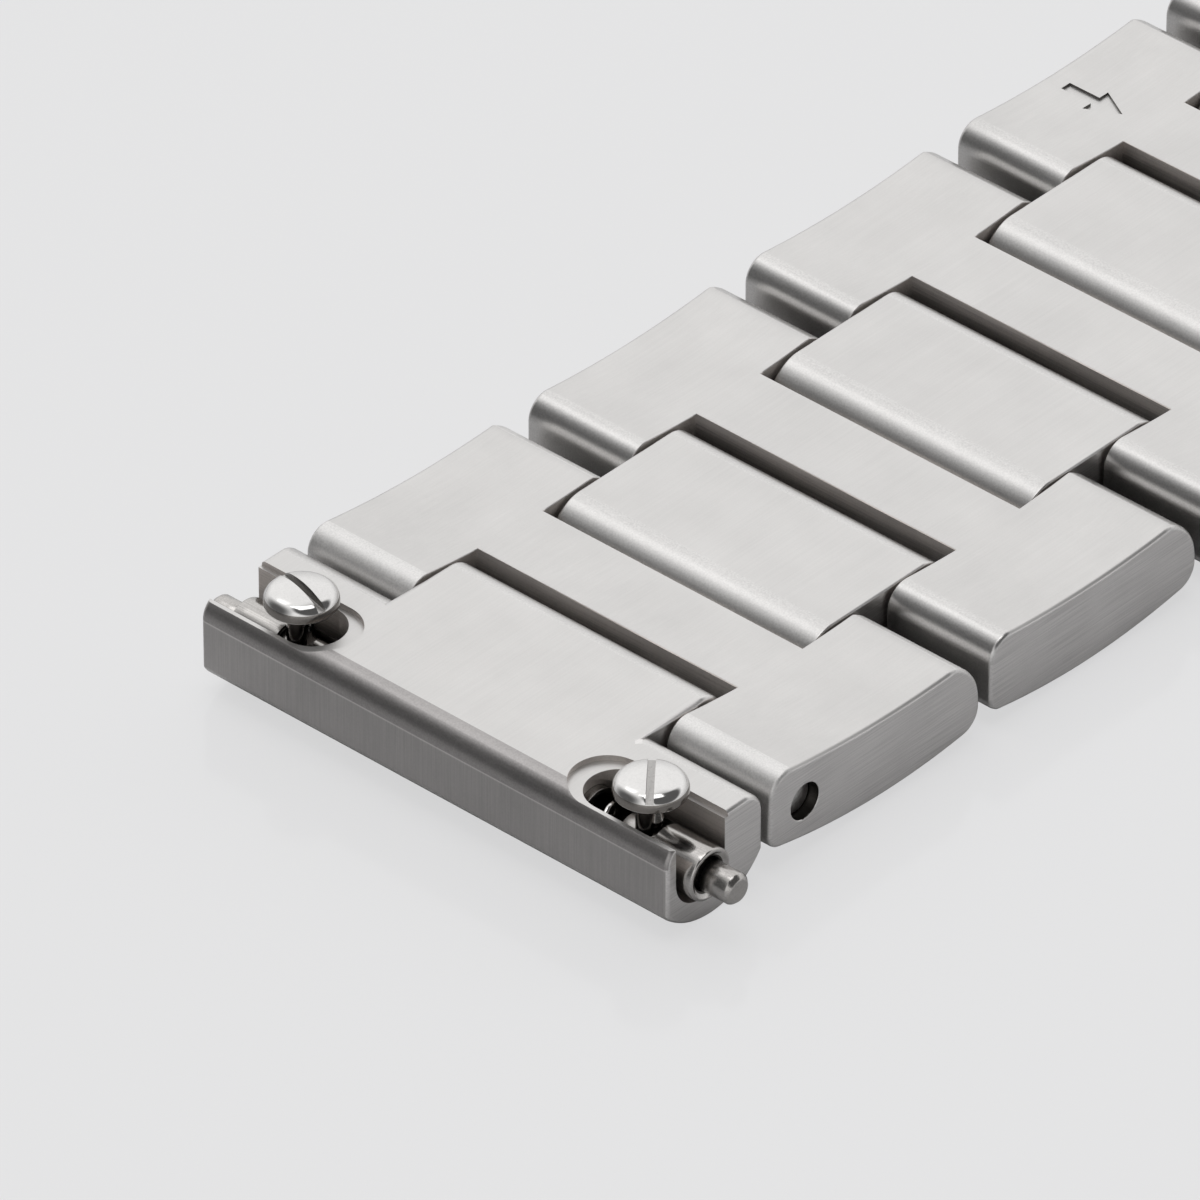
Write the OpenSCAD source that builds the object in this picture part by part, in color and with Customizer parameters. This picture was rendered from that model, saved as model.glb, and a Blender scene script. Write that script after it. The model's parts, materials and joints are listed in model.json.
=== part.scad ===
// Link watch bracelet: two halves of H-shaped links joined by centre links, a quick-release
// end link at each outer end, and a folding clasp between the halves.
// The bracelet lies flat with its inner (wrist) face up. X runs across the band, Y along it,
// and z = 0 is the surface that the outer faces lie on. The origin is under the clasp's middle.

/* [Band] */
// Width of the band, which fits between a watch's lugs
band_w = 20; // [18:0.5:24]
// Width of the centre links, of the end link's tongue and of the clasp's lugs
centre_w = 10.9; // [9:0.1:12]
// Gap on each side between a centre link and the arms beside it
side_gap = 0.12; // [0.08:0.01:0.2]
// Number of H links in each half
links_per_half = 5; // [5]

/* [H links] */
// Length of an H link
h_len = 10; // [9.8:0.1:11]
// Thickness of an H link at its middle
h_t = 3; // [2.8:0.1:3.3]
// Length of the bridge between the arms
bridge_len = 3.1; // [2.4:0.1:3.2]
// Gap between one H link's arms and the next
h_gap = 0.5; // [0.4:0.05:0.8]
// Radius of the domed outer face
outer_face_r = 26; // [20:1:60]
// Radius of the hollow inner face
inner_face_r = 40; // [30:1:80]
// Distance from an H link's front edge to its front pin
front_pin_in = 1.63; // [1.6:0.01:1.7]
// Distance from an H link's rear edge to its rear pin
rear_pin_in = 1.95; // [1.8:0.05:2]
// Depth of the pin line below an H link's raised ends
pin_depth = 1.69; // [1.68:0.01:1.72]
// Height of the links above the surface that the end links and the clasp lie on
link_lift = 0.12; // [0:0.01:0.3]
// Clear length between a centre link's rear end and the bridge behind it
bridge_gap = 0.45; // [0.25:0.05:0.5]
// Radius of the front edge's inner corner
front_top_r = 0.85; // [0.6:0.05:1]
// Radius of the front edge's outer corner
front_bottom_r = 0.6; // [0.4:0.05:0.8]
// Radius of the rear edge's outer corner
rear_bottom_r = 0.85; // [0.6:0.05:1.1]

/* [Centre links] */
// Radius of a centre link's round front end about its pin
centre_r = 1.5; // [1.35:0.05:1.5]
// Reach of a centre link past its rear pin
rear_reach = 1.22; // [1.1:0.02:1.24]
// Radius of the rear end's inner corner
reach_top_r = 1; // [0.9:0.05:1.1]
// Radius of the rear end's outer corner
reach_bottom_r = 0.9; // [0.7:0.05:1.1]

/* [Link pins] */
// Diameter of a link pin
pin_d = 1.3; // [1:0.05:1.4]
// Radial clearance of a pin in the arms that hold it
pin_seat = 0.01; // [0.005:0.005:0.02]
// Radial clearance of a pin in the link that turns on it
pin_run = 0.05; // [0.02:0.01:0.09]
// Depth of a pin's end below the side of its link
pin_recess = 0.4; // [0.2:0.05:0.8]
// Length of side wall left over a blind pin hole
blind_wall = 0.9; // [0.6:0.1:1.5]

/* [End link] */
// Length of the end link's full-width bar
end_len = 4.5; // [4.4:0.1:5]
// Height of the end link
end_h = 3.62; // [3.56:0.02:3.7]
// Gap between the end link's bar and the first H link
end_gap = 0.35; // [0.3:0.05:0.6]
// Radius of the end link's round outer face
end_r = 2.85; // [2.6:0.05:3]
// Radius of the end link's inner corners
end_corner_r = 0.8; // [0.5:0.05:0.9]
// Distance from the end link's front face to the spring bar
bar_in = 1.56; // [1.5:0.02:1.7]
// Height of the spring bar above the outer face
bar_z = 2.05; // [1.95:0.05:2.15]
// Width of the open slot over the spring bar
slot_w = 2.28; // [2.26:0.02:2.38]
// Length of the slot from the end link's side
slot_len = 4.58; // [4.5:0.02:4.8]
// Width of the shallow recess round the slot
recess_w = 2.58; // [2.42:0.02:2.7]
// Length of the shallow recess from the end link's side
recess_len = 5.2; // [5:0.1:5.5]
// Depth of the shallow recess
recess_t = 0.2; // [0.1:0.02:0.3]

/* [Spring bar] */
// Length by which the spring bar's tube is shorter than the band is wide
tube_short = 0; // [0:0.1:0.6]
// Distance that the bar has slid towards its right end
bar_shift = 0.43; // [0:0.01:0.45]
// Outer diameter of the spring bar's tube
tube_d = 1.86; // [1.8:0.02:1.9]
// Inner diameter of the tube
tube_bore = 1.5; // [1.4:0.02:1.56]
// Running clearance of a plunger in the tube, on the radius
bar_run = 0.03; // [0.02:0.01:0.06]
// Diameter of the tip that enters the watch's lug
tip_d = 1.1; // [0.9:0.05:1.2]
// Length of tip outside the tube
tip_out = 1.22; // [1:0.02:1.6]
// Diameter of the tip's neck inside the tube's end
neck_d = 0.75; // [0.6:0.05:0.75]
// Length of neck outside the tube
neck_out = 0.03; // [0.02:0.01:0.1]
// Chamfer of the tip
tip_chamfer = 0.15; // [0.05:0.01:0.2]
// Thickness of the tube's closed ends
tube_end = 0.3; // [0.2:0.05:0.4]
// Longest travel of a knob towards the middle
plunger_travel = 1.6; // [1.1:0.1:1.65]
// Reach of a plunger past its knob's middle, towards the spring
plunger_reach = 0.915; // [0.8:0.005:1]
// Diameter of the spring's coils, measured at the wire's middle
bar_coil_d = 1.1; // [0.9:0.05:1.1]
// Number of coils in the spring
bar_coils = 14; // [8:1:16]
// Diameter of the spring's wire
wire_d = 0.24; // [0.2:0.02:0.26]

/* [Knobs] */
// Distance from a knob's middle to the band's side, with the bar in the middle
knob_in = 2.525; // [2.5:0.005:2.65]
// Diameter of a knob's head
knob_d = 2.46; // [2.2:0.02:2.6]
// Diameter of a knob's shank
shank_d = 1; // [0.8:0.05:1]
// Height of the head's underside above the end link
knob_lift = 0.43; // [0.35:0.02:0.7]
// Height of the head's straight side
knob_side = 0.46; // [0.4:0.02:0.7]
// Height of the head's crown
knob_crown = 0.25; // [0.15:0.05:0.3]
// Width of the slot across the head
knob_slot_w = 0.26; // [0.2:0.02:0.4]
// Depth of the slot across the head
knob_slot_t = 0.36; // [0.2:0.02:0.4]

/* [Arrow marks] */
// Number of links next to the clasp that come out and carry an arrow
loose_links = 2; // [1:1:3]
// Depth of the engraved arrow
mark_t = 0.08; // [0.04:0.02:0.12]
// Length of the arrow
mark_len = 2.5; // [2:0.05:3]
// Width of the arrow's stem
mark_w = 0.44; // [0.3:0.02:0.6]
// Length of the arrow's head
mark_head = 1.2; // [0.8:0.05:1.4]
// Width of the arrow's head
mark_head_w = 1.3; // [1:0.05:1.5]
// Distance from the link's left side to the arrow's tail
mark_side = 0.85; // [0.5:0.05:1]
// Distance from the link's front edge to the arrow's middle
mark_in = 4.5; // [3.5:0.1:6]

/* [Clasp] */
// Half of the closed clasp's length
clasp_half = 17; // [16:0.5:20]
// Thickness of the cover's outer plate
cover_t = 1; // [0.8:0.05:1]
// Height of the cover's side walls
cover_h = 3; // [2.9:0.05:3]
// Thickness of the cover's side walls
wall_t = 1.1; // [0.9:0.05:1.2]
// Radius of the cover's long outer edges
cover_edge_r = 0.7; // [0.4:0.05:0.9]
// Thickness of the two blades
blade_t = 0.9; // [0.7:0.05:0.9]
// Width of the two blades
blade_w = 9; // [8:0.1:9]
// Height of the middle blade's outer face
middle_z = 1.65; // [1.6:0.05:1.7]
// Height of the base blade's outer face
base_z = 3.3; // [3.25:0.05:3.4]
// Radius of the hinge knuckles
knuckle_r = 0.95; // [0.85:0.05:0.95]
// Diameter of the clasp's hinge pins
clasp_pin_d = 0.9; // [0.7:0.05:1]
// Gap between hinge knuckles along the pin
knuckle_gap = 0.1; // [0.06:0.02:0.2]

/* [Push buttons] */
// Length of a push button
button_len = 6; // [5:0.5:7]
// Height of a push button
button_h = 1.6; // [1.3:0.1:1.6]
// Distance that a button stands out of the side wall
button_out = 0.5; // [0.4:0.05:0.8]
// Clearance round a button in its window
button_gap = 0.08; // [0.05:0.01:0.12]
// Travel of a button
button_travel = 0.8; // [0.5:0.05:0.8]
// Diameter of a button's stem
stem_d = 1; // [0.8:0.05:1]

/* [Hidden] */
halves = ["a", "b"];

$fn = 64;
fine = 360;
over = 1;

steel = [0.72, 0.71, 0.70];
bright = [0.80, 0.80, 0.80];
dark_steel = [0.55, 0.54, 0.53];

// Derived sizes of the links
slot_half = centre_w / 2 + side_gap;
bridge_y = front_pin_in + rear_reach + bridge_gap;
h_ends = h_t + inner_face_r - sqrt(pow(inner_face_r, 2) - pow(h_len / 2, 2));
pin_z = h_ends - pin_depth;
pin_span = h_len - front_pin_in - rear_pin_in;
centre_span = h_gap + front_pin_in + rear_pin_in;
pin_r = pin_d / 2;
pin_line = pin_z + link_lift;
lug_reach = h_gap + rear_pin_in;

// Height of the corner whose rounding of radius r meets the hollow or the domed face smoothly
function hollow_corner(r) = h_t + inner_face_r + r
    - sqrt(pow(inner_face_r + r, 2) - pow(h_len / 2 - r, 2));
function domed_corner(r) = outer_face_r - r
    - sqrt(pow(outer_face_r - r, 2) - pow(h_len / 2 - r, 2));

// The end link stands higher than the others, so the first H link tilts down from its pin
end_pin_y = end_len + end_gap + front_pin_in;
end_pin_z = end_h - centre_r - 0.1;
first_tilt = asin((end_pin_z - pin_line) / pin_span);
first_run = pin_span * cos(first_tilt);

function front_pin_y(k) = k == 1 ? end_pin_y
    : end_pin_y + first_run + (k - 1) * centre_span + (k - 2) * pin_span;
function rear_pin_y(k) = front_pin_y(k) + (k == 1 ? first_run : pin_span);
half_len = rear_pin_y(links_per_half) + rear_pin_in + h_gap;

// Derived places along the spring bar, from its own middle
slot_end = band_w / 2 - slot_len;
tube_half = (band_w - tube_short) / 2;
shoulder_x = tube_half - tube_end - 0.04;
knob_x = band_w / 2 - knob_in;
plunger_in = knob_x - plunger_reach;
head_z = end_h + knob_lift;
knob_turns = [14, 130];

// Derived places in the clasp
cover_end = clasp_half - 2.7;
cover_pin_y = cover_end - 1;
cover_pin_z = middle_z + blade_t / 2;
base_pin_y = -(clasp_half - wall_t - 1.7);
base_pin_z = base_z + blade_t / 2 - 0.85;
block_y = clasp_half - 1.5;
tail = blade_w / 2 - 2;
window_z = (cover_t + cover_h) / 2;
button_z = window_z - 0.1;
stem_end = 5.95;
guide_x = stem_end + 0.3;
guide_t = 0.6;
flange_t = 0.5;
flange_x = band_w / 2 - wall_t - 0.02 - flange_t;
tab_t = 0.4;
tab_x = blade_w / 2 + 0.15;
tab_z = 1.4;
rivet_r = 0.6;
rivet_ys = [-1.6, 1.6];

// A flat outline drawn in (y, z) becomes a solid of width w across the band
module across(w) {
    rotate([90, 0, 90]) linear_extrude(w, center = true) children();
}

// What a radius takes off an outline's corner; s points from the corner into the outline
module nick(corner, r, s) {
    difference() {
        translate([corner[0] + (s[0] < 0 ? -r : -over), corner[1] + (s[1] < 0 ? -r : -over)])
            square(r + over);
        translate([corner[0] + s[0] * r, corner[1] + s[1] * r]) circle(r, $fn = fine);
    }
}

// A rod or a hole along the band's width, from x0 to x1
module rod(x0, x1, r) {
    translate([x0, 0, 0]) rotate([0, 90, 0]) cylinder(h = x1 - x0, r = r);
}

// A helical spring along X from x0 to x1
module coil_spring(x0, x1, coil_r, wire_r, coils) {
    sides = 6;
    steps = coils * 10;
    len = x1 - x0 - 2 * wire_r;
    ring = [for (i = [0 : steps]) for (j = [0 : sides - 1])
        let (turn = 360 * coils * i / steps, a = 360 * j / sides, r = coil_r + wire_r * cos(a))
        [x0 + wire_r + len * i / steps + wire_r * sin(a), r * cos(turn), r * sin(turn)]];
    walls = [for (i = [0 : steps - 1]) for (j = [0 : sides - 1])
        let (p = i * sides + j, q = i * sides + (j + 1) % sides)
        each [[p, q, p + sides], [q, q + sides, p + sides]]];
    first_cap = [for (j = [1 : sides - 2]) [0, j + 1, j]];
    last = steps * sides;
    last_cap = [for (j = [1 : sides - 2]) [last, last + j, last + j + 1]];
    polyhedron(ring, concat(walls, first_cap, last_cap));
}

// Outline of an H link, with its front edge at y = 0 and its outer face's middle at z = 0
module h_outline() {
    difference() {
        intersection() {
            square([h_len, h_ends]);
            translate([h_len / 2, outer_face_r]) circle(outer_face_r, $fn = fine);
        }
        translate([h_len / 2, h_t + inner_face_r]) circle(inner_face_r, $fn = fine);
        nick([0, hollow_corner(front_top_r)], front_top_r, [1, -1]);
        nick([h_len, h_ends], rear_pin_in, [-1, -1]);
        nick([0, domed_corner(front_bottom_r)], front_bottom_r, [1, 1]);
        nick([h_len, domed_corner(rear_bottom_r)], rear_bottom_r, [-1, 1]);
    }
}

// The arrow that shows which way the pins push out, engraved in the left arm
module arrow_mark() {
    stem = mark_len - mark_head;
    translate([mark_side - band_w / 2, mark_in, h_t - mark_t]) linear_extrude(over) {
        translate([0, -mark_w / 2]) square([stem + 0.05, mark_w]);
        polygon([[stem, -mark_head_w / 2], [mark_len, 0], [stem, mark_head_w / 2]]);
    }
}

// Pin hole of an H link: open on the left, and on the right where open_right says so
module h_pin_hole(y, open_right) {
    right = open_right ? band_w / 2 + over : band_w / 2 - blind_wall;
    translate([0, y, pin_z]) rod(-band_w / 2 - over, right, pin_r + pin_seat);
}

module h_link(k) {
    loose = k > links_per_half - loose_links;
    color(steel) difference() {
        across(band_w) h_outline();
        translate([-slot_half, -over, -over]) cube([2 * slot_half, bridge_y + over, h_t + 3 * over]);
        translate([-slot_half, bridge_y + bridge_len, -over])
            cube([2 * slot_half, h_len, h_t + 3 * over]);
        h_pin_hole(front_pin_in, k == 1 || loose);
        h_pin_hole(h_len - rear_pin_in, loose);
        if (loose) arrow_mark();
    }
}

// The two pins that an H link holds, each in a blind or a through hole
module link_pins(k) {
    loose = k > links_per_half - loose_links;
    color(bright) for (front = [true, false])
        translate([0, front ? front_pin_in : h_len - rear_pin_in, pin_z])
            rod(-band_w / 2 + pin_recess,
                band_w / 2 - (loose || (front && k == 1) ? pin_recess : blind_wall + 0.05), pin_r);
}

// Outline of a centre link about its front pin
module centre_outline() {
    difference() {
        union() {
            circle(centre_r, $fn = fine);
            translate([0, -centre_r]) square([centre_span + rear_reach, 2 * centre_r]);
        }
        nick([centre_span + rear_reach, centre_r], reach_top_r, [-1, -1]);
        nick([centre_span + rear_reach, -centre_r], reach_bottom_r, [-1, 1]);
    }
}

module centre_link() {
    color(steel) difference() {
        across(centre_w) centre_outline();
        for (y = [0, centre_span]) translate([0, y, 0]) rod(-band_w, band_w, pin_r + pin_run);
    }
}

// Outline of the end link's bar: flat inner face, upright front and a round outer face
module end_outline() {
    difference() {
        intersection() {
            square([end_len, end_h]);
            union() {
                translate([end_len / 2 - 0.15, end_r]) circle(end_r, $fn = fine);
                translate([0, end_r]) square([end_len, end_h]);
            }
        }
        nick([0, end_h], end_corner_r, [1, -1]);
        nick([end_len, end_h], end_corner_r, [-1, -1]);
    }
}

// Outline of the end link's tongue, which turns on the first H link's front pin
module tongue_outline() {
    tip = end_pin_y + rear_reach;
    bottom = end_pin_z - centre_r;
    difference() {
        translate([end_len / 2, bottom]) square([tip - end_len / 2, end_h - bottom]);
        nick([tip, end_h], reach_top_r, [-1, -1]);
        nick([tip, bottom], reach_bottom_r, [-1, 1]);
    }
}

// The slot, recess and bore at the right end of the end link
module end_notch() {
    slot_mid = slot_end + slot_w / 2;
    recess_mid = band_w / 2 - recess_len + recess_w / 2;
    translate([0, bar_in, 0]) {
        translate([slot_mid, 0, bar_z]) cylinder(h = end_h, d = slot_w);
        translate([slot_mid, -slot_w / 2, bar_z]) cube([band_w, slot_w, end_h]);
        translate([recess_mid, 0, end_h - recess_t]) cylinder(h = over, d = recess_w);
        translate([recess_mid, -recess_w / 2, end_h - recess_t]) cube([band_w, recess_w, over]);
        translate([0, 0, bar_z]) rod(slot_end, band_w / 2 + over, slot_w / 2);
    }
}

module end_link() {
    color(steel) difference() {
        union() {
            across(band_w) end_outline();
            across(centre_w) tongue_outline();
        }
        for (m = [0, 1]) mirror([m, 0, 0]) end_notch();
        translate([0, bar_in, bar_z]) rod(-slot_end - 0.1, slot_end + 0.1, tube_d / 2 + pin_seat);
        translate([0, end_pin_y, end_pin_z]) rod(-band_w, band_w, pin_r + pin_run);
    }
}

// The spring bar's place: its middle is bar_shift away from the end link's middle
module at_bar() {
    translate([bar_shift, bar_in, bar_z]) children();
}

// Tube of the spring bar: closed ends with a hole for each tip, and a window for each knob
module bar_tube() {
    window_in = knob_x - shank_d / 2 - plunger_travel - 0.1;
    window_out = knob_x + shank_d / 2 + 0.1;
    color(dark_steel) at_bar() difference() {
        rod(-tube_half, tube_half, tube_d / 2);
        rod(-tube_half + tube_end, tube_half - tube_end, tube_bore / 2);
        rod(-band_w, band_w, tip_d / 2 + bar_run);
        for (m = [0, 1]) mirror([m, 0, 0])
            translate([window_in, -shank_d / 2 - 0.05, 0])
                cube([window_out - window_in, shank_d + 0.1, tube_d]);
    }
}

module bar_spring() {
    color(bright) at_bar()
        coil_spring(-plunger_in + 0.02, plunger_in - 0.02, bar_coil_d / 2, wire_d / 2, bar_coils);
}

// Right plunger: thick part in the tube, and the chamfered tip that passes through its end
module plunger() {
    tip_start = tube_half + neck_out;
    tip_end = tube_half + tip_out;
    tip_r = tip_d / 2;
    color(bright) difference() {
        union() {
            rod(plunger_in, shoulder_x, tube_bore / 2 - bar_run);
            rod(shoulder_x, tip_start, neck_d / 2);
            rod(tip_start, tip_end - tip_chamfer, tip_r);
            translate([tip_end - tip_chamfer, 0, 0]) rotate([0, 90, 0])
                cylinder(h = tip_chamfer, r1 = tip_r, r2 = tip_r - tip_chamfer);
        }
        translate([knob_x, 0, -0.35]) cylinder(h = tube_d, d = shank_d);
    }
}

// Right knob: a shank into the plunger and a crowned head with a slot turned to the angle given
module knob(turn) {
    crown_r = (pow(knob_d / 2, 2) + pow(knob_crown, 2)) / (2 * knob_crown);
    head = head_z - bar_z;
    head_top = head + knob_side + knob_crown;
    color(bright) translate([knob_x, 0, 0]) difference() {
        rotate_extrude() difference() {
            union() {
                translate([0, -0.35]) square([shank_d / 2, head + 0.4]);
                translate([0, head]) square([knob_d / 2, knob_side]);
                intersection() {
                    translate([0, head_top - crown_r]) circle(crown_r, $fn = fine);
                    translate([0, head + knob_side - 0.01]) square([knob_d / 2, knob_crown + 0.1]);
                }
            }
            nick([knob_d / 2, head], 0.12, [-1, 1]);
        }
        rotate([0, 0, turn]) translate([-knob_d, -knob_slot_w / 2, head_top - knob_slot_t])
            cube([2 * knob_d, knob_slot_w, over]);
    }
}

// Half of the cross-section of the cover: a plate with a round outer edge and a side wall
module cover_section() {
    difference() {
        translate([-band_w / 2, 0]) square([band_w, cover_h]);
        translate([-band_w / 2 + wall_t, cover_t]) square([band_w - 2 * wall_t, cover_h]);
        nick([-band_w / 2, 0], cover_edge_r, [1, 1]);
        nick([band_w / 2, 0], cover_edge_r, [-1, 1]);
    }
}

// Outline of a lug about its pin, reaching towards y = reach
module lug_outline(reach) {
    circle(centre_r, $fn = fine);
    translate([0, -centre_r]) square([reach, 2 * centre_r]);
}

// Outer plate of the clasp with its side walls, end wall, lug, hinge holes and button windows
module clasp_cover() {
    color(steel) difference() {
        union() {
            translate([0, cover_end, 0]) rotate([90, 0, 0])
                linear_extrude(cover_end + clasp_half) cover_section();
            translate([-band_w / 2 + wall_t / 2, -clasp_half, cover_t / 2])
                cube([band_w - wall_t, wall_t, cover_h - cover_t / 2]);
            translate([0, -clasp_half - lug_reach, pin_line])
                across(centre_w) lug_outline(lug_reach + wall_t);
            for (m = [0, 1]) mirror([m, 0, 0])
                translate([guide_x, -1.5, cover_t / 2]) cube([guide_t, 3, cover_h - cover_t / 2 - 0.2]);
        }
        // The base blade swings through here when the clasp is open
        translate([-blade_w / 2 - 0.2, -clasp_half - 0.1, cover_t + 0.9])
            cube([blade_w + 0.4, wall_t + 0.2 + over, cover_h]);
        translate([0, -clasp_half - lug_reach, pin_line]) rod(-band_w, band_w, pin_r + pin_run);
        translate([0, cover_pin_y, cover_pin_z]) rod(-band_w, band_w, clasp_pin_d / 2 + pin_seat);
        // The hinge end is rounded so that it turns clear of the block beside it
        translate([0, cover_end, 0]) across(2 * band_w) nick([0, 0], 0.8, [-1, 1]);
        for (m = [0, 1]) mirror([m, 0, 0]) {
            translate([band_w / 2 - wall_t - 0.1, -button_len / 2 - button_gap,
                       button_z - button_h / 2 - button_gap])
                cube([wall_t + over, button_len + 2 * button_gap, button_h + 2 * button_gap]);
            translate([0, 0, button_z]) rod(guide_x - over, guide_x + guide_t + 0.1, stem_d / 2 + pin_run);
        }
    }
}

// Middle blade: a wide knuckle on the cover's pin and a narrow one on the base blade's pin
module clasp_middle_blade() {
    bar_half = band_w / 2 - wall_t - 0.2;
    color(steel) difference() {
        union() {
            translate([-blade_w / 2 + 0.3, base_pin_y + 1.6, middle_z])
                cube([blade_w - 0.6, cover_pin_y - base_pin_y - 1.6, blade_t]);
            translate([-tail, base_pin_y, middle_z]) cube([2 * tail, 3, blade_t]);
            translate([0, cover_pin_y, cover_pin_z]) rod(-bar_half, bar_half, knuckle_r);
            translate([0, base_pin_y, base_pin_z]) rod(-tail, tail, knuckle_r);
            translate([-tail, base_pin_y - knuckle_r, middle_z])
                cube([2 * tail, 2 * knuckle_r, base_pin_z - middle_z]);
        }
        translate([0, cover_pin_y, cover_pin_z]) rod(-band_w, band_w, clasp_pin_d / 2 + pin_run);
        translate([0, base_pin_y, base_pin_z]) rod(-band_w, band_w, clasp_pin_d / 2 + pin_run);
    }
}

// Base blade: the inner plate, its hinge knuckles, the end block and the other half's lug
module clasp_base_blade() {
    block_h = base_z + blade_t;
    color(steel) difference() {
        union() {
            translate([-blade_w / 2, base_pin_y + knuckle_r + 0.15, base_z])
                cube([blade_w, clasp_half - base_pin_y - knuckle_r - 0.15, blade_t]);
            for (m = [0, 1]) mirror([m, 0, 0]) {
                translate([0, base_pin_y, base_pin_z]) rod(tail + knuckle_gap, blade_w / 2, knuckle_r);
                translate([tail + knuckle_gap, base_pin_y, base_z])
                    cube([blade_w / 2 - tail - knuckle_gap, 3, blade_t]);
            }
            translate([0, block_y, 0]) across(band_w) block_outline(block_h);
            translate([0, clasp_half + lug_reach, pin_line]) mirror([0, 1, 0])
                across(centre_w) lug_outline(lug_reach + 0.5);
        }
        translate([0, base_pin_y, base_pin_z]) rod(-band_w, band_w, clasp_pin_d / 2 + pin_seat);
        translate([0, clasp_half + lug_reach, pin_line]) rod(-band_w, band_w, pin_r + pin_run);
        for (y = rivet_ys) translate([0, y, base_z - over]) cylinder(h = 3, r = rivet_r);
    }
}

// Outline of the base blade's end block, from its inner face at y = 0
module block_outline(h) {
    len = clasp_half - block_y;
    difference() {
        square([len, h]);
        nick([0, 0], 0.4, [1, 1]);
        nick([len, 0], 0.4, [-1, 1]);
        nick([len, h], 0.6, [-1, -1]);
        nick([0, h], 0.4, [1, -1]);
    }
}

module clasp_cover_pin() {
    color(bright) translate([0, cover_pin_y, cover_pin_z])
        rod(-band_w / 2 + 0.1, band_w / 2 - 0.1, clasp_pin_d / 2);
}

module clasp_base_pin() {
    color(bright) translate([0, base_pin_y, base_pin_z])
        rod(-blade_w / 2 + 0.05, blade_w / 2 - 0.05, clasp_pin_d / 2);
}

// Plate under the base blade with a tab on each side for the buttons' noses
module catch_plate() {
    color(dark_steel) difference() {
        union() {
            translate([-tab_x - tab_t, -2.5, base_z - tab_t]) cube([2 * (tab_x + tab_t), 5, tab_t]);
            for (m = [0, 1]) mirror([m, 0, 0])
                translate([tab_x, -2.5, tab_z]) cube([tab_t, 5, base_z - tab_z]);
        }
        for (y = rivet_ys) translate([0, y, base_z - over]) cylinder(h = 3, r = rivet_r);
    }
}

module catch_rivets() {
    color(bright) for (y = rivet_ys) translate([0, y, base_z - tab_t])
        cylinder(h = blade_t + tab_t, r = rivet_r);
}

// Right push button: cap in the side wall, flange behind it and a stem through its guide
module button() {
    color(bright) {
        translate([flange_x + flange_t, -button_len / 2, button_z - button_h / 2])
            cube([band_w / 2 + button_out - flange_x - flange_t, button_len, button_h]);
        translate([flange_x, -button_len / 2 - 0.6, cover_t + 0.05])
            cube([flange_t, button_len + 1.2, button_h + 0.15]);
        translate([0, 0, button_z]) rod(stem_end, flange_x, stem_d / 2);
    }
}

module button_spring() {
    color(bright) translate([0, 0, button_z])
        coil_spring(guide_x + guide_t + 0.02, flange_x - 0.02, 0.66, 0.1, 3);
}

// Placing: half a lies towards -Y from the clasp, and half b is the same half turned round
module in_half(s) {
    rotate([0, 0, s == "b" ? 180 : 0]) translate([0, -clasp_half - half_len, 0]) children();
}

// The first H link is tilted about its front pin, and the others lie level
module at_link(k) {
    if (k == 1)
        translate([0, end_pin_y, end_pin_z]) rotate([-first_tilt, 0, 0])
            translate([0, -front_pin_in, -pin_z]) children();
    else
        translate([0, front_pin_y(k) - front_pin_in, link_lift]) children();
}

for (s = halves) in_half(s) {
    end_link();
    bar_tube();
    bar_spring();
    at_bar() mirror([1, 0, 0]) plunger();
    at_bar() plunger();
    at_bar() mirror([1, 0, 0]) knob(knob_turns[0]);
    at_bar() knob(knob_turns[1]);
    for (k = [1 : links_per_half]) {
        at_link(k) h_link(k);
        at_link(k) link_pins(k);
    }
    for (k = [1 : links_per_half - 1])
        translate([0, rear_pin_y(k), pin_line]) centre_link();
}
clasp_cover();
clasp_middle_blade();
clasp_base_blade();
clasp_cover_pin();
clasp_base_pin();
catch_plate();
catch_rivets();
mirror([1, 0, 0]) button();  // button_left
button();  // button_right
mirror([1, 0, 0]) button_spring();  // button_spring_left
button_spring();  // button_spring_right
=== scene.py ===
"""Link watch bracelet: steel links, quick-release end links, folding clasp and a small studio.

All sizes in the classes are millimetres in the CAD's frame: X across the band, Y along it, and
z = 0 the surface that the outer faces lie on. A Shell turns them into metres as it makes a mesh.
"""

from __future__ import annotations

import json
import logging
import math
from dataclasses import dataclass, field
from enum import Enum, IntEnum

import bmesh
import bpy
import numpy as np
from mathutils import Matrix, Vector

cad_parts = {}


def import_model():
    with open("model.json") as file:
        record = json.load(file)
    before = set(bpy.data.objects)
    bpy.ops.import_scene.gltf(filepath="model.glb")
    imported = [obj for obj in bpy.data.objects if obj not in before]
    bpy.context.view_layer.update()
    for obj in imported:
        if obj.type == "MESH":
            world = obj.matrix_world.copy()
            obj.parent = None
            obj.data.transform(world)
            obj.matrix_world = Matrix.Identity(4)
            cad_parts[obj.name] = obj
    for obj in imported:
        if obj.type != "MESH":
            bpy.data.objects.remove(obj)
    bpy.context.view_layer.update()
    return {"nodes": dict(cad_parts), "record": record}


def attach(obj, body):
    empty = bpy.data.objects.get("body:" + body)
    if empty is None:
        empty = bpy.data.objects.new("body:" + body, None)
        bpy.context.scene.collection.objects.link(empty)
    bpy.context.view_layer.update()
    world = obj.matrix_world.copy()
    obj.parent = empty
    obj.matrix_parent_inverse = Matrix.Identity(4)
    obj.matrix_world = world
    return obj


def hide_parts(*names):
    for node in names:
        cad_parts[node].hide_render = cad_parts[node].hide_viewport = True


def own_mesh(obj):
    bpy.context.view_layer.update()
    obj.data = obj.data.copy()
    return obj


LOG = logging.getLogger("bracelet")
MM = 0.001

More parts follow.
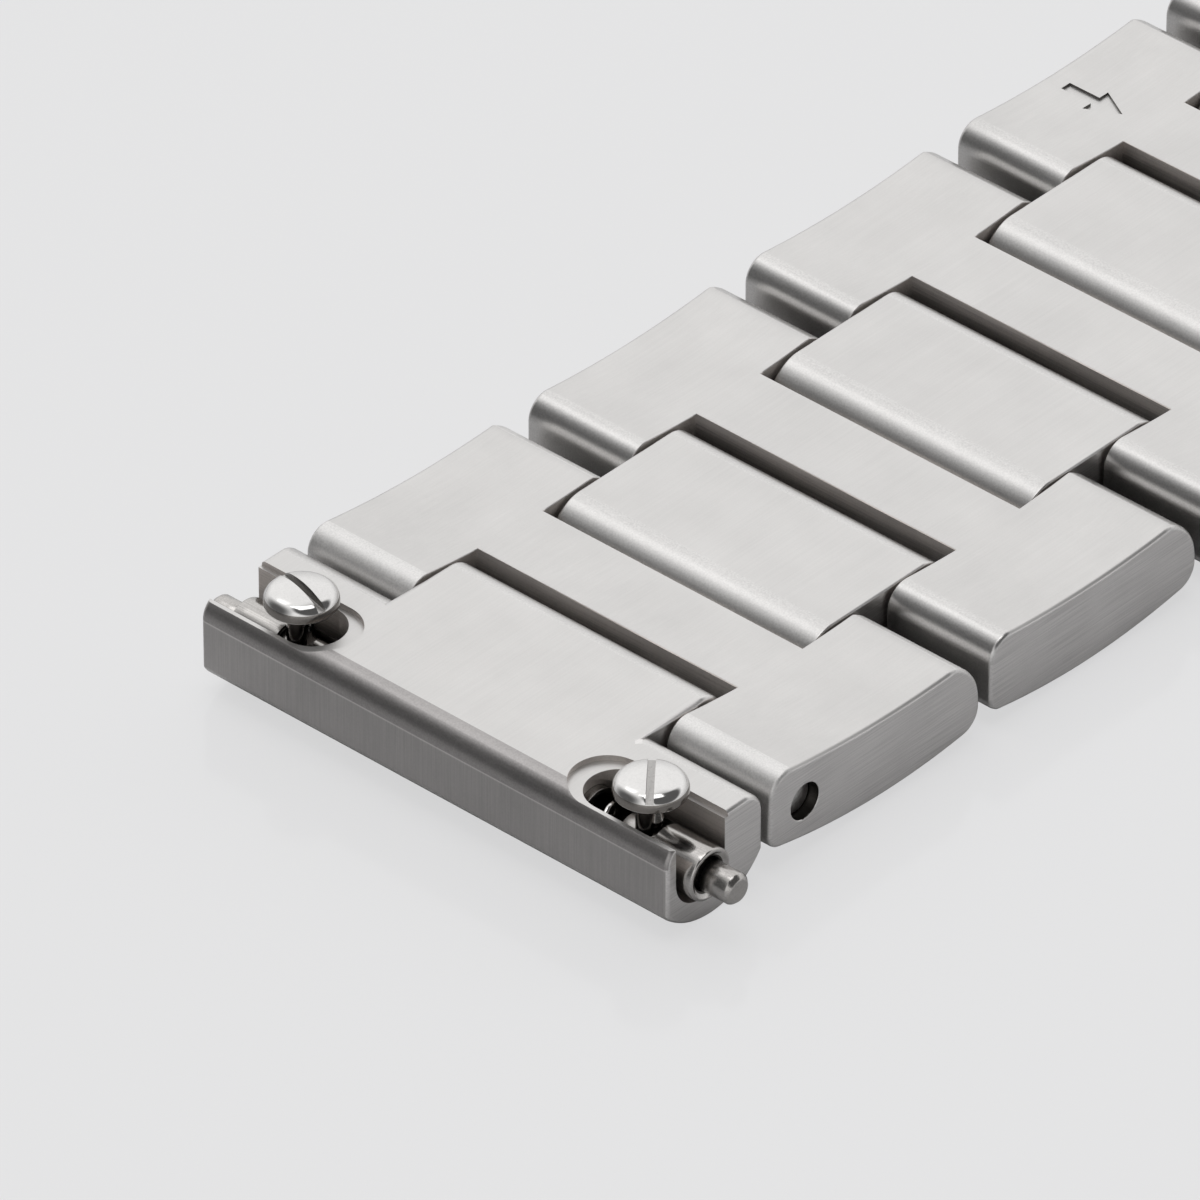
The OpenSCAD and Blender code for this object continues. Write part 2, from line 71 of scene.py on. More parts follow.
# Scales of the noise per metre, and a grinding line's length in widths.
GRIT_SCALE = 16000.0
CLOUD_SCALE = 420.0
LINE_STRETCH = 60

# Shares of a finish's own colour and roughness at its lowest and highest tone.
DARK_SHARE = 0.62
PALE_SHARE = 1.3
# With painted light by height the pale share is wider, so the painted highlight shows.
PALE_SHARE_WITH_PAINTED_LIGHT = 2.2
SMOOTH_SHARE = 0.8
ROUGH_SHARE = 1.25

# Angles in degrees: edges that are weighed, broken, left smooth and merged away.
CORNER_FROM = 43.5
EDGE_FROM = 32
SMOOTH_UNDER = 40
FLAT_WITHIN = 0.5

# Points of a flat arc, and degrees between the points of a hole.
BOW_POINTS = 26
HOLE_STEP = 7.5


class Grain(Enum):
    """Direction that the fine grinding lines of a finish run in."""

    ACROSS_BAND = "x"
    ALONG_BAND = "y"
    UPRIGHT = "z"
    NONE = "none"


class Side(IntEnum):
    """Which finish a face of a link gets; the value is its place in the piece's materials."""

    INNER = 0
    ROUNDED = 1
    FLANK = 2
    CUT = 3
    OUTER = 4
    FRONT = 5
    BORE = 6
    MARK = 7
    CROWN = 8


class Turned(IntEnum):
    """Which finish a face of the tube, a knob or a spring gets."""

    OUTSIDE = 0
    CUT = 1
    # EDGE: the knob's painted dark reflection band.
    EDGE = 2


@dataclass(frozen=True)
class SteelFinish:
    """A steel surface with its grinding lines, blasted speckle, slow colour change and, where given, painted
    light by height.

    Args:
        name: Name of the material.
        colour: Reflectance of the metal, linear.
        roughness: Roughness of the metal's gloss.
        grain: Direction of the grinding lines.
        lines: Strength of the lines, 0 to 1.
        speckle: Strength of the fine grit marks, 0 to 1.
        mottle: Strength of the slow change in tone, 0 to 1.
        relief_um: Height of the surface relief in micrometres.
        line_width: Width of one grinding line in millimetres.
        painted_highlight_at: Height in millimetres of a painted highlight line along the face, with
            painted light that makes the face lighter further below it, or None.
        painted_light_above: Heights in millimetres between which painted light makes the face paler upwards,
            or None.
    """

    name: str
    colour: tuple[float, float, float]
    roughness: float
    grain: Grain = Grain.NONE
    lines: float = 0.0
    speckle: float = 0.0
    mottle: float = 0.0
    relief_um: float = 1.0
    line_width: float = 0.05
    painted_highlight_at: float | None = None
    painted_light_above: tuple[float, float] | None = None

    def material(self) -> bpy.types.Material:
        """Builds the procedural material of this finish.

        Returns:
            The material.
        """
        made = bpy.data.materials.new(self.name)
        made.use_nodes = True
        nodes, links = made.node_tree.nodes, made.node_tree.links
        nodes.clear()
        out = nodes.new("ShaderNodeOutputMaterial")
        shader = nodes.new("ShaderNodeBsdfPrincipled")
        shader.inputs["Metallic"].default_value = 1.0
        links.new(shader.outputs[0], out.inputs["Surface"])
        place = nodes.new("ShaderNodeTexCoord").outputs["Object"]
        streaks = self._noise(made, place, self._line_scale(), 2.0)
        grit = self._noise(made, place, (GRIT_SCALE,) * 3, 2.0)
        slow = self._noise(made, place, (CLOUD_SCALE,) * 3, 3.0)
        tone = self._tone(made, streaks, grit, slow)
        # Painted light and shade by height, added to the tone.
        ramps = self._painted_light_ramps()
        for ramp in ramps:
            tone = self._paint_light_by_height(made, place, tone, ramp)
        shade = nodes.new("ShaderNodeMix")
        shade.data_type = "RGBA"
        shade.inputs[6].default_value = (*[c * DARK_SHARE for c in self.colour], 1)
        pale = PALE_SHARE_WITH_PAINTED_LIGHT if ramps else PALE_SHARE
        shade.inputs[7].default_value = (*[min(1.0, c * pale) for c in self.colour], 1)
        links.new(tone, shade.inputs[0])
        links.new(shade.outputs[2], shader.inputs["Base Color"])
        rough = nodes.new("ShaderNodeMapRange")
        rough.inputs["To Min"].default_value = max(0.03, self.roughness * SMOOTH_SHARE)
        rough.inputs["To Max"].default_value = self.roughness * ROUGH_SHARE
        links.new(tone, rough.inputs["Value"])
        links.new(rough.outputs[0], shader.inputs["Roughness"])
        bump = nodes.new("ShaderNodeBump")
        bump.inputs["Distance"].default_value = self.relief_um * 1e-6
        links.new(tone, bump.inputs["Height"])
        links.new(bump.outputs[0], shader.inputs["Normal"])
        return made

    def _line_scale(self) -> tuple[float, float, float]:
        """Noise scale on each axis: dense across the lines and stretched along them.

        Returns:
            The scale along X, Y and Z.
        """
        fine, long = 1000.0 / self.line_width, 1000.0 / (self.line_width * LINE_STRETCH)
        axes = {"x": 0, "y": 1, "z": 2}
        scale = [fine] * 3
        if self.grain.value in axes:
            scale[axes[self.grain.value]] = long
        return tuple(scale)

    @staticmethod
    def _noise(
        made: bpy.types.Material,
        place: bpy.types.NodeSocket,
        scale: tuple[float, float, float],
        detail: float,
    ) -> bpy.types.NodeSocket:
        """Noise on the piece's own coordinates.

        Args:
            made: Material that gets the nodes.
            place: Socket with the object coordinates.
            scale: Scale on each axis, per metre.
            detail: Number of finer octaves.

        Returns:
            The noise's factor.
        """
        nodes, links = made.node_tree.nodes, made.node_tree.links
        spread = nodes.new("ShaderNodeMapping")
        spread.inputs["Scale"].default_value = scale
        links.new(place, spread.inputs["Vector"])
        noise = nodes.new("ShaderNodeTexNoise")
        noise.inputs["Scale"].default_value = 1.0
        noise.inputs["Detail"].default_value = detail
        links.new(spread.outputs[0], noise.inputs["Vector"])
        return noise.outputs["Fac"]

    def _tone(self, made: bpy.types.Material, *layers: bpy.types.NodeSocket) -> bpy.types.NodeSocket:
        """Adds the layers about a middle tone of one half, each by its own strength.

        Args:
            made: Material that gets the nodes.
            layers: Line, grit and slow noise, in that order.

        Returns:
            The summed tone.
        """
        nodes, links = made.node_tree.nodes, made.node_tree.links
        total = None
        for layer, strength in zip(layers, (self.lines, self.speckle, self.mottle)):
            part = nodes.new("ShaderNodeMath")
            part.operation = "MULTIPLY_ADD"
            part.inputs[1].default_value = strength * 2
            part.inputs[2].default_value = 0.5 - strength if total is None else -strength
            links.new(layer, part.inputs[0])
            if total is None:
                total = part.outputs[0]
                continue
            both = nodes.new("ShaderNodeMath")
            both.use_clamp = True
            links.new(total, both.inputs[0])
            links.new(part.outputs[0], both.inputs[1])
            total = both.outputs[0]
        return total

    def _painted_light_ramps(self) -> list[tuple[float, float, float, float]]:
        """Painted light and shade by height: lower and upper height, and what is added below and above them.

        Returns:
            One row for each change.
        """
        ramps = []
        # Painted highlight line at that height, and painted light that makes the face lighter further below
        # it.
        if self.painted_highlight_at is not None:
            rise, fall, reach = 0.07, 0.05, 2.2
            ramps.append((self.painted_highlight_at - rise, self.painted_highlight_at, 0.0, 0.5))
            ramps.append((self.painted_highlight_at, self.painted_highlight_at + fall, 0.0, -0.5))
            ramps.append((self.painted_highlight_at - reach, self.painted_highlight_at, 0.12, 0.0))
        # Painted light that makes the face paler upwards, so it is darker lower down.
        if self.painted_light_above is not None:
            ramps.append((*self.painted_light_above, 0.0, 0.5))
        return ramps

    @staticmethod
    def _paint_light_by_height(
        made: bpy.types.Material,
        place: bpy.types.NodeSocket,
        tone: bpy.types.NodeSocket,
        change: tuple[float, float, float, float],
    ) -> bpy.types.NodeSocket:
        """Adds painted light as a change of tone by height; a negative change paints shade.

        Args:
            made: Material that gets the nodes.
            place: Socket with the object coordinates.
            tone: Tone so far.
            change: Lower and upper height in millimetres, and what is added below and above them.

        Returns:
            The changed tone.
        """
        nodes, links = made.node_tree.nodes, made.node_tree.links
        low, high, before, after = change
        split = nodes.new("ShaderNodeSeparateXYZ")
        links.new(place, split.inputs[0])
        ramp = nodes.new("ShaderNodeMapRange")
        ramp.interpolation_type = "SMOOTHSTEP"
        ramp.inputs["From Min"].default_value = low * MM
        ramp.inputs["From Max"].default_value = high * MM
        ramp.inputs["To Min"].default_value = before
        ramp.inputs["To Max"].default_value = after
        links.new(split.outputs["Z"], ramp.inputs["Value"])
        both = nodes.new("ShaderNodeMath")
        links.new(tone, both.inputs[0])
        links.new(ramp.outputs[0], both.inputs[1])
        return both.outputs[0]


class Finishes:
    """The steel finishes of the bracelet, each made once; some have painted light and shade in their colour.
    """

    PALE = (0.60, 0.59, 0.58)
    SIDE = (0.70, 0.684, 0.675)

    def __init__(self) -> None:
        """Makes every material."""
        self.inner = SteelFinish(
            "satin_inner_face", self.PALE, 0.38, Grain.ALONG_BAND,
            lines=0.08, speckle=0.05, mottle=0.13, relief_um=0.7, line_width=0.07,
        ).material()
        self.rounded = SteelFinish(
            "blasted_rounding", self.PALE, 0.3, Grain.ACROSS_BAND,
            lines=0.08, speckle=0.32, mottle=0.1, relief_um=1.1, line_width=0.08,
        ).material()
        self.blasted = SteelFinish(
            "rough_rounding", (0.72, 0.71, 0.70), 0.5, Grain.ACROSS_BAND,
            lines=0.05, speckle=0.35, mottle=0.15, relief_um=1.6, line_width=0.08,
        ).material()
        # Painted dark reflection: a darker colour on the end link's front rounding stands for the dark room
        # that it reflects.
        self.dark_reflection_rounding = SteelFinish(
            "painted_dark_reflection_rounding", (0.37, 0.355, 0.35), 0.34, Grain.ACROSS_BAND,
            lines=0.1, speckle=0.35, mottle=0.2, relief_um=1.4, line_width=0.08,
        ).material()
        self.flank = SteelFinish(
            "brushed_side", self.SIDE, 0.34, Grain.ALONG_BAND,
            lines=0.4, speckle=0.1, mottle=0.15, relief_um=1.2, line_width=0.05,
        ).material()
        # Milled finish of the gaps and notches; painted light makes it paler towards the top, so it is
        # darker lower down in the gaps.
        self.cut = SteelFinish(
            "milled_gap", (0.31, 0.29, 0.276), 0.48, Grain.ACROSS_BAND,
            lines=0.4, speckle=0.2, mottle=0.1, relief_um=2.0, line_width=0.06, painted_light_above=(2.2, 3.1),
        ).material()
        self.outer = SteelFinish(
            "brushed_outer_face", (0.52, 0.51, 0.50), 0.32, Grain.ALONG_BAND,
            lines=0.45, speckle=0.1, mottle=0.1, relief_um=1.5, line_width=0.05,
        ).material()
        # End link's front: brushed upright; its dark colour is painted shade, with a painted highlight line
        # at 2.80 mm and painted light that makes it lighter further below.
        self.front = SteelFinish(
            "brushed_front_painted_shade", (0.29, 0.281, 0.277), 0.36, Grain.UPRIGHT,
            lines=0.16, speckle=0.07, mottle=0.1, relief_um=1.2, line_width=0.04, painted_highlight_at=2.80,
        ).material()
        self.polished = SteelFinish(
            "polished", (0.66, 0.65, 0.64), 0.1, Grain.NONE,
            lines=0.05, speckle=0.1, mottle=0.15, relief_um=0.5, line_width=0.2,
        ).material()
        self.turned = SteelFinish(
            "turned", (0.58, 0.57, 0.56), 0.2, Grain.ACROSS_BAND,
            lines=0.2, speckle=0.2, mottle=0.1, relief_um=1.2, line_width=0.05,
        ).material()
        self.blade = SteelFinish(
            "brushed_blade", (0.55, 0.54, 0.53), 0.3, Grain.ALONG_BAND,
            lines=0.4, speckle=0.1, mottle=0.12, relief_um=1.5, line_width=0.06,
        ).material()
        self.slot = SteelFinish(
            "knob_slot", (0.40, 0.39, 0.38), 0.28, Grain.NONE,
            lines=0.1, speckle=0.3, mottle=0.1, relief_um=1.5, line_width=0.05,
        ).material()
        self.tube = SteelFinish(
            "drawn_tube", (0.46, 0.445, 0.43), 0.17, Grain.ACROSS_BAND,
            lines=0.3, speckle=0.2, mottle=0.2, relief_um=1.2, line_width=0.05,
        ).material()
        self.tip = SteelFinish(
            "turned_tip", (0.44, 0.425, 0.41), 0.22, Grain.ACROSS_BAND,
            lines=0.2, speckle=0.3, mottle=0.2, relief_um=1.2, line_width=0.05,
        ).material()
        # Painted dark reflection band on the knob's upright side and the lower part of its rounding.
        self.knob_side = SteelFinish(
            "knob_side", (0.24, 0.225, 0.21), 0.16, Grain.NONE,
            lines=0.05, speckle=0.25, mottle=0.3, relief_um=0.8, line_width=0.05,
        ).material()
        # Near-black painted shade in the pin holes of the links and inside the spring bar's tube.
        self.bore = SteelFinish(
            "painted_shade_hole", (0.07, 0.065, 0.06), 0.35, Grain.ACROSS_BAND,
            lines=0.3, speckle=0.2, mottle=0.1, relief_um=2.0, line_width=0.05,
        ).material()
        self.pin_end = SteelFinish(
            "ground_pin", (0.62, 0.61, 0.60), 0.36, Grain.ACROSS_BAND,
            lines=0.1, speckle=0.35, mottle=0.2, relief_um=1.6, line_width=0.05,
        ).material()
        self.mark = SteelFinish(
            "engraved_mark", (0.24, 0.23, 0.22), 0.5, Grain.NONE,
            lines=0.1, speckle=0.4, mottle=0.1, relief_um=2.0, line_width=0.05,
        ).material()

    def of_link(self, rounded: bpy.types.Material | None = None) -> list[bpy.types.Material]:
        """Materials of a link in the order of Side, with the given finish on its roundings.

        Args:
            rounded: Finish of the roundings, or None for the usual one.

        Returns:
            The materials.
        """
        rounded = rounded or self.rounded
        plain = [self.inner, rounded, self.flank, self.cut, self.outer]
        # The front's dark colour is painted shade, the bore's near-black colour painted shade in the pin
        # holes, and the crown's darker colour a painted dark reflection.
        return plain + [self.front, self.bore, self.mark, self.dark_reflection_rounding]


@dataclass
class Outline:
    """A closed outline in (y, z), counter-clockwise seen from +X, with a finish for each edge."""

    points: np.ndarray = field(default_factory=lambda: np.zeros((0, 2)))
    sides: list[int] = field(default_factory=list)

    def add(self, points: np.ndarray, side: Side, after: Side) -> None:
        """Adds a run of points, leaving out a first point that repeats the last one.

        Args:
            points: The run's points.
            side: Finish of the edges between them.
            after: Finish of the edge that leaves the run's last point.
        """
        points = np.asarray(points, float)
        if len(self.points) and np.allclose(points[0], self.points[-1], atol=1e-6):
            points = points[1:]
            self.sides[-1] = side
        self.points = np.vstack([self.points, points])
        self.sides += [side] * (len(points) - 1) + [after]

    def at(self, y: float, upper: bool) -> int:
        """Index of the outline's point at y, on its upper or its lower face.

        Args:
            y: Distance along the band.
            upper: Whether the point is on the upper face.

        Returns:
            The point's index.
        """
        middle = (self.points[:, 1].min() + self.points[:, 1].max()) / 2
        miss = np.abs(self.points[:, 0] - y)
        miss[(self.points[:, 1] > middle) != upper] = 1e9
        best = int(np.argmin(miss))
        if miss[best] > 1e-6:
            raise ValueError(f"no outline point at y = {y}")
        return best


def arc(
    centre: tuple[float, float], radius: float, start: float, stop: float, step: float = 4.0
) -> np.ndarray:
    """Points of a circular arc: centre plus radius times (cosine, sine) of even angles.

    Args:
        centre: Centre of the circle.
        radius: Its radius.
        start: First angle in degrees.
        stop: Last angle in degrees.
        step: Largest angle between two points.

    Returns:
        The points, one row each.
    """
    turns = np.radians(np.linspace(start, stop, max(3, int(abs(stop - start) / step) + 2)))
    return np.column_stack([centre[0] + radius * np.cos(turns), centre[1] + radius * np.sin(turns)])


def bow(
    centre: tuple[float, float], radius: float, start: float, stop: float, through: list[float], upward: int
) -> np.ndarray:
    """Points of a flat arc by y: centre height plus or minus the root of radius squared less offset squared.

    Args:
        centre: Centre of the circle.
        radius: Its radius.
        start: First y.
        stop: Last y.
        through: Values of y that get a point of their own.
        upward: 1 for the circle's upper side, -1 for its lower side.

    Returns:
        The points in order from start to stop.
    """
    low, high = min(start, stop), max(start, stop)
    inside = [y for y in through if low < y < high]
    even = np.linspace(start, stop, BOW_POINTS)
    even = even[[all(abs(y - t) > 0.05 for t in inside) for y in even]]
    ys = np.unique(np.concatenate([even, inside]))
    ys = ys if stop > start else ys[::-1]
    zs = centre[1] + upward * np.sqrt(radius**2 - (ys - centre[0]) ** 2)
    return np.column_stack([ys, zs])


def split_plate(plate: list[int], hole: list[int], bottom: int, top: int) -> tuple[list[int], list[int]]:
    """Cuts a flat face with a round hole into the parts before and behind the hole's middle.

    Args:
        plate: Corner ids, counter-clockwise.
        hole: Ids of the hole's circle, counter-clockwise from its lowest point.
        bottom: Id of the plate's corner under the hole.
        top: Id of the plate's corner over the hole.

    Returns:
        The front and the rear part.
    """
    first = plate.index(bottom)
    plate = plate[first:] + plate[:first]
    over = plate.index(top)
    half = len(hole) // 2
    rear = plate[: over + 1] + hole[half::-1]
    front = plate[over:] + [plate[0], hole[0]] + hole[: half - 1 : -1]
    return front, rear


class Shell:
    """A closed surface in millimetres, built from rings of points and the bands between them."""

    def __init__(self) -> None:
        """Starts with nothing."""
        self.points: list[np.ndarray] = []
        self.faces: list[list[int]] = []
        self.sides: list[int] = []
        self.count = 0

    def add(self, points: np.ndarray) -> np.ndarray:
        """Adds points with three columns and returns their ids.

        Args:
            points: X, Y and Z of each point.

        Returns:
            Their ids.
        """
        ids = np.arange(self.count, self.count + len(points))
        self.points.append(np.asarray(points, float))
        self.count += len(points)
        return ids

    def ring(self, x: float, outline: np.ndarray) -> np.ndarray:
        """Adds an outline of (y, z) points at x and returns its ids."""
        return self.add(np.column_stack([np.full(len(outline), x), outline]))

    def band(
        self, first: np.ndarray, second: np.ndarray, sides: list[int], edges: list[int] | None = None
    ) -> None:
        """Adds one quad for each edge between two rings of equal length.

        Args:
            first: Ids of one ring.
            second: Ids of the other ring.
            sides: Finish of each edge.
            edges: Edges to use, or all of them.
        """
        used = np.arange(len(first)) if edges is None else np.array(edges)
        after = (used + 1) % len(first)
        quads = np.column_stack([first[used], first[after], second[after], second[used]])
        self.faces += quads.tolist()
        self.sides += [int(sides[e]) for e in used]

    def face(self, ids: list[int], side: Side) -> None:
        """Adds one flat face."""
        self.faces.append([int(i) for i in ids])
        self.sides.append(int(side))

    def mesh(self, name: str, place: np.ndarray | None = None) -> bpy.types.Mesh:
        """Makes the mesh in metres, with its faces pointing outwards.

        Args:
            name: Name of the mesh.
            place: 4 by 4 matrix in millimetres, or None.

        Returns:
            The mesh.
        """
        points = np.vstack(self.points)
        if place is not None:
            points = points @ place[:3, :3].T + place[:3, 3]
        made = bpy.data.meshes.new(name)
        made.from_pydata((points * MM).tolist(), [], self.faces)
        made.polygons.foreach_set("material_index", np.array(self.sides, np.int32))
        made.polygons.foreach_set("use_smooth", np.ones(len(self.faces), bool))
        work = bmesh.new()
        work.from_mesh(made)
        bmesh.ops.recalc_face_normals(work, faces=work.faces)
        work.to_mesh(made)
        work.free()
        made.update()
        return made


class Workshop:
    """Turns shells into pieces: materials, cutters, bevels and their place in the frame."""

    def __init__(self, finishes: Finishes, bodies: dict[str, list[str]]) -> None:
        """Keeps the finishes and looks up which body each CAD node belongs to.

        Args:
            finishes: The bracelet's materials.
            bodies: Node names of each body.
        """
        self.finishes = finishes
        self.body_of = {node: body for body, nodes in bodies.items() for node in nodes}

    def piece(
        self,
        node: str,
        shell: Shell,
        materials: list[bpy.types.Material],
        place: np.ndarray | None = None,
        bevel: float = 0.0,
        cutters: list[Shell] | None = None,
        fine: float = 0.0,
        part: str = "",
    ) -> bpy.types.Object:
        """Makes the finished piece that stands for a CAD node.

        Args:
            node: The CAD node it replaces; the piece is named after it.
            shell: Its surface.
            materials: Its materials, in the order that the faces name them.
            place: Matrix in millimetres.
            bevel: Width of the broken edges of the plain shell.
            cutters: Shells taken away from it after that.
            fine: Width of the broken edges that the cutters leave.
            part: Ending of its name where several pieces stand for the node.

        Returns:
            The piece.
        """
        made = bpy.data.objects.new(f"dressed_{node}{part}", shell.mesh(node + part, place))
        bpy.context.scene.collection.objects.link(made)
        for material in materials:
            made.data.materials.append(material)
        if bevel:
            self._weigh(made.data)
            weighed = self._bevel(made, bevel)
            weighed.limit_method = "WEIGHT"
            weighed.use_clamp_overlap = False
        if cutters:
            tools = [self._cut(made, cutter, materials, place) for cutter in cutters]
            if fine:
                self._bevel(made, fine)
            self._apply(made, tools)
        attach(made, self.body_of[node])
        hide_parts(node)
        LOG.info("%s: %d faces", made.name, len(made.data.polygons))
        return made

    @staticmethod
    def _weigh(mesh: bpy.types.Mesh, small: float = 0.25) -> None:
        """Weighs the edges past the sharp angle for the bevel: in full, or less at holes and milled faces.

        Args:
            mesh: Mesh of the plain shell.
            small: Weight of the edges at holes and milled faces.
        """
        work = bmesh.new()
        work.from_mesh(mesh)
        layer = work.edges.layers.float.new("bevel_weight_edge")
        fine = (Side.CUT, Side.BORE, Side.MARK)
        for edge in work.edges:
            if edge.is_convex and edge.calc_face_angle() > math.radians(CORNER_FROM):
                cut = any(face.material_index in fine for face in edge.link_faces)
                edge[layer] = small if cut else 1.0
        work.to_mesh(mesh)
        work.free()

    @staticmethod
    def _bevel(made: bpy.types.Object, width: float) -> bpy.types.BevelModifier:
        """Breaks the piece's sharp edges to the given width.

        Args:
            made: The piece.
            width: Width in millimetres.

        Returns:
            The modifier.
        """
        edge = made.modifiers.new("broken_edges", "BEVEL")
        edge.width = width * MM
        edge.segments = 3
        edge.limit_method = "ANGLE"
        edge.angle_limit = math.radians(EDGE_FROM)
        edge.harden_normals = True
        edge.miter_outer = "MITER_ARC"
        return edge

    @staticmethod
    def _cut(
        made: bpy.types.Object, cutter: Shell, materials: list, place: np.ndarray | None
    ) -> bpy.types.Object:
        """Adds a cut by a shell and returns the cutter's object.

        Args:
            made: The piece.
            cutter: Shell that is taken away.
            materials: The piece's materials.
            place: Matrix in millimetres.

        Returns:
            The cutter's object.
        """
        tool = bpy.data.objects.new("cutter", cutter.mesh("cutter", place))
        bpy.context.scene.collection.objects.link(tool)
        for material in materials:
            tool.data.materials.append(material)
        cut = made.modifiers.new("cut", "BOOLEAN")
        cut.operation = "DIFFERENCE"
        cut.solver = "EXACT"
        cut.object = tool
        return tool

    @staticmethod
    def _apply(made: bpy.types.Object, tools: list[bpy.types.Object]) -> None:
        """Makes the modifiers final and removes the cutters.

        Args:
            made: The piece.
            tools: The cutters.
        """
        graph = bpy.context.evaluated_depsgraph_get()
        final = bpy.data.meshes.new_from_object(made.evaluated_get(graph), depsgraph=graph)
        made.modifiers.clear()
        made.data = final
        for tool in tools:
            bpy.data.objects.remove(tool)
        work = bmesh.new()
        work.from_mesh(final)
        for edge in work.edges:
            edge.smooth = len(edge.link_faces) == 2 and edge.calc_face_angle() < math.radians(SMOOTH_UNDER)
        work.to_mesh(final)
        work.free()
        if "custom_normal" in final.attributes:
            final.attributes.remove(final.attributes["custom_normal"])
        even = made.modifiers.new("even_normals", "WEIGHTED_NORMAL")
        even.keep_sharp = True

    def dress(self, node: bpy.types.Object, material: bpy.types.Material, bevel: float) -> None:
        """Gives a CAD node its material, merged faces and broken edges.

        Args:
            node: The node's object.
            material: Its material.
            bevel: Width of the broken edges in millimetres.
        """
        node.data.materials.clear()
        node.data.materials.append(material)
        weld = node.modifiers.new("weld", "WELD")
        weld.merge_threshold = 1e-6
        merge = node.modifiers.new("merge", "DECIMATE")
        merge.decimate_type = "DISSOLVE"
        merge.angle_limit = math.radians(FLAT_WITHIN)
        self._bevel(node, bevel)


def turned_by(axis: str, degrees: float) -> np.ndarray:
    """4 by 4 matrix of a turn about X or Z by an angle in degrees.

    Args:
        axis: The axis, "x" or "z".
        degrees: The angle.

    Returns:
        The matrix.
    """
    cos, sin = math.cos(math.radians(degrees)), math.sin(math.radians(degrees))
    made = np.eye(4)
    a, b = (1, 2) if axis == "x" else (0, 1)
    made[a, a], made[a, b], made[b, a], made[b, b] = cos, -sin, sin, cos
    return made


def moved_by(x: float, y: float, z: float) -> np.ndarray:
    """4 by 4 matrix of a move.

    Args:
        x: Move along X in millimetres.
        y: Move along Y.
        z: Move along Z.

    Returns:
        The matrix.
    """
    made = np.eye(4)
    made[:3, 3] = (x, y, z)
    return made


def lathe(
    shell: Shell,
    profile: np.ndarray,
    axis: str,
    centre: tuple[float, float, float],
    side: IntEnum,
    count: int = 64,
) -> None:
    """Carries a profile round an axis: radius times cosine and sine beside it, height along it.

    Args:
        shell: Shell that gets the surface.
        profile: Radius and height of each point; both ends are closed with a flat face.
        axis: "x" or "z".
        centre: Point of the axis at height 0.
        side: Finish of the surface.
        count: Points round the axis.
    """
    turns = np.linspace(0, 2 * np.pi, count, endpoint=False)
    rings = []
    for radius, height in profile:
        u, v = radius * np.cos(turns), radius * np.sin(turns)
        w = np.full(count, height)
        grid = np.column_stack([w, u, v] if axis == "x" else [u, v, w])
        rings.append(shell.add(grid + np.array(centre)))
    for first, second in zip(rings, rings[1:]):
        shell.band(first, second, [side] * count)
    shell.face(rings[0], side)
    shell.face(rings[-1], side)


@dataclass
class Band:
    """Sizes that the links, end links and clasp share, in millimetres.

    front_in and rear_in are the pins' distances from a link's ends, pin_depth and end_pin_in their
    depths below the inner face, bar is the spring bar's Y and Z in the end link, and lift is the
    height of the flat links above the surface.
    """

    width: float = 20.0
    centre_w: float = 10.9
    side_gap: float = 0.12
    links: int = 5
    h_len: float = 10.0
    h_t: float = 3.0
    inner_r: float = 40.0
    outer_r: float = 26.0
    front_in: float = 1.63
    rear_in: float = 1.95
    pin_depth: float = 1.69
    lift: float = 0.12
    h_gap: float = 0.5
    bridge: tuple[float, float] = (3.3, 6.4)
    pin_r: float = 0.65
    end_len: float = 4.5
    end_h: float = 3.62
    end_pin_in: float = 1.6
    end_gap: float = 0.35
    bar: tuple[float, float] = (1.56, 2.05)
    clasp_half: float = 17.0

    def __post_init__(self) -> None:
        """Works out the places of the pins."""
        self.h_ends = self.h_t + self.inner_r - math.sqrt(self.inner_r**2 - (self.h_len / 2) ** 2)
        self.pin_z = self.h_ends - self.pin_depth
        self.pin_line = self.pin_z + self.lift
        self.pin_span = self.h_len - self.front_in - self.rear_in
        self.centre_span = self.h_gap + self.front_in + self.rear_in
        self.slot_half = self.centre_w / 2 + self.side_gap
        self.end_pin = (self.end_len + self.end_gap + self.front_in, self.end_h - self.end_pin_in)
        self.tilt = math.degrees(math.asin((self.end_pin[1] - self.pin_line) / self.pin_span))
        self.first_run = self.pin_span * math.cos(math.radians(self.tilt))
        self.half_len = self.rear_pin(self.links) + self.rear_in + self.h_gap

    def front_pin(self, k: int) -> float:
        """Distance of link k's front pin from the end link's front.

        Args:
            k: Number of the link, from 1.

        Returns:
            The distance along Y.
        """
        if k == 1:
            return self.end_pin[0]
        return self.end_pin[0] + self.first_run + (k - 1) * self.centre_span + (k - 2) * self.pin_span

    def rear_pin(self, k: int) -> float:
        """Distance of link k's rear pin from the end link's front."""
        return self.front_pin(k) + (self.first_run if k == 1 else self.pin_span)

    def half(self, s: str) -> np.ndarray:
        """Place of half a, or of half b, which is turned round."""
        return turned_by("z", 180 if s == "b" else 0) @ moved_by(0, -self.clasp_half - self.half_len, 0)

    def at_link(self, k: int) -> np.ndarray:
        """Place of link k in its half; the first one is tilted about its front pin.

        Args:
            k: Number of the link, from 1.

        Returns:
            Its matrix in millimetres.
        """
        if k == 1:
            to_pin = moved_by(0, -self.front_in, -self.pin_z)
            return moved_by(0, *self.end_pin) @ turned_by("x", -self.tilt) @ to_pin
        return moved_by(0, self.front_pin(k) - self.front_in, self.lift)


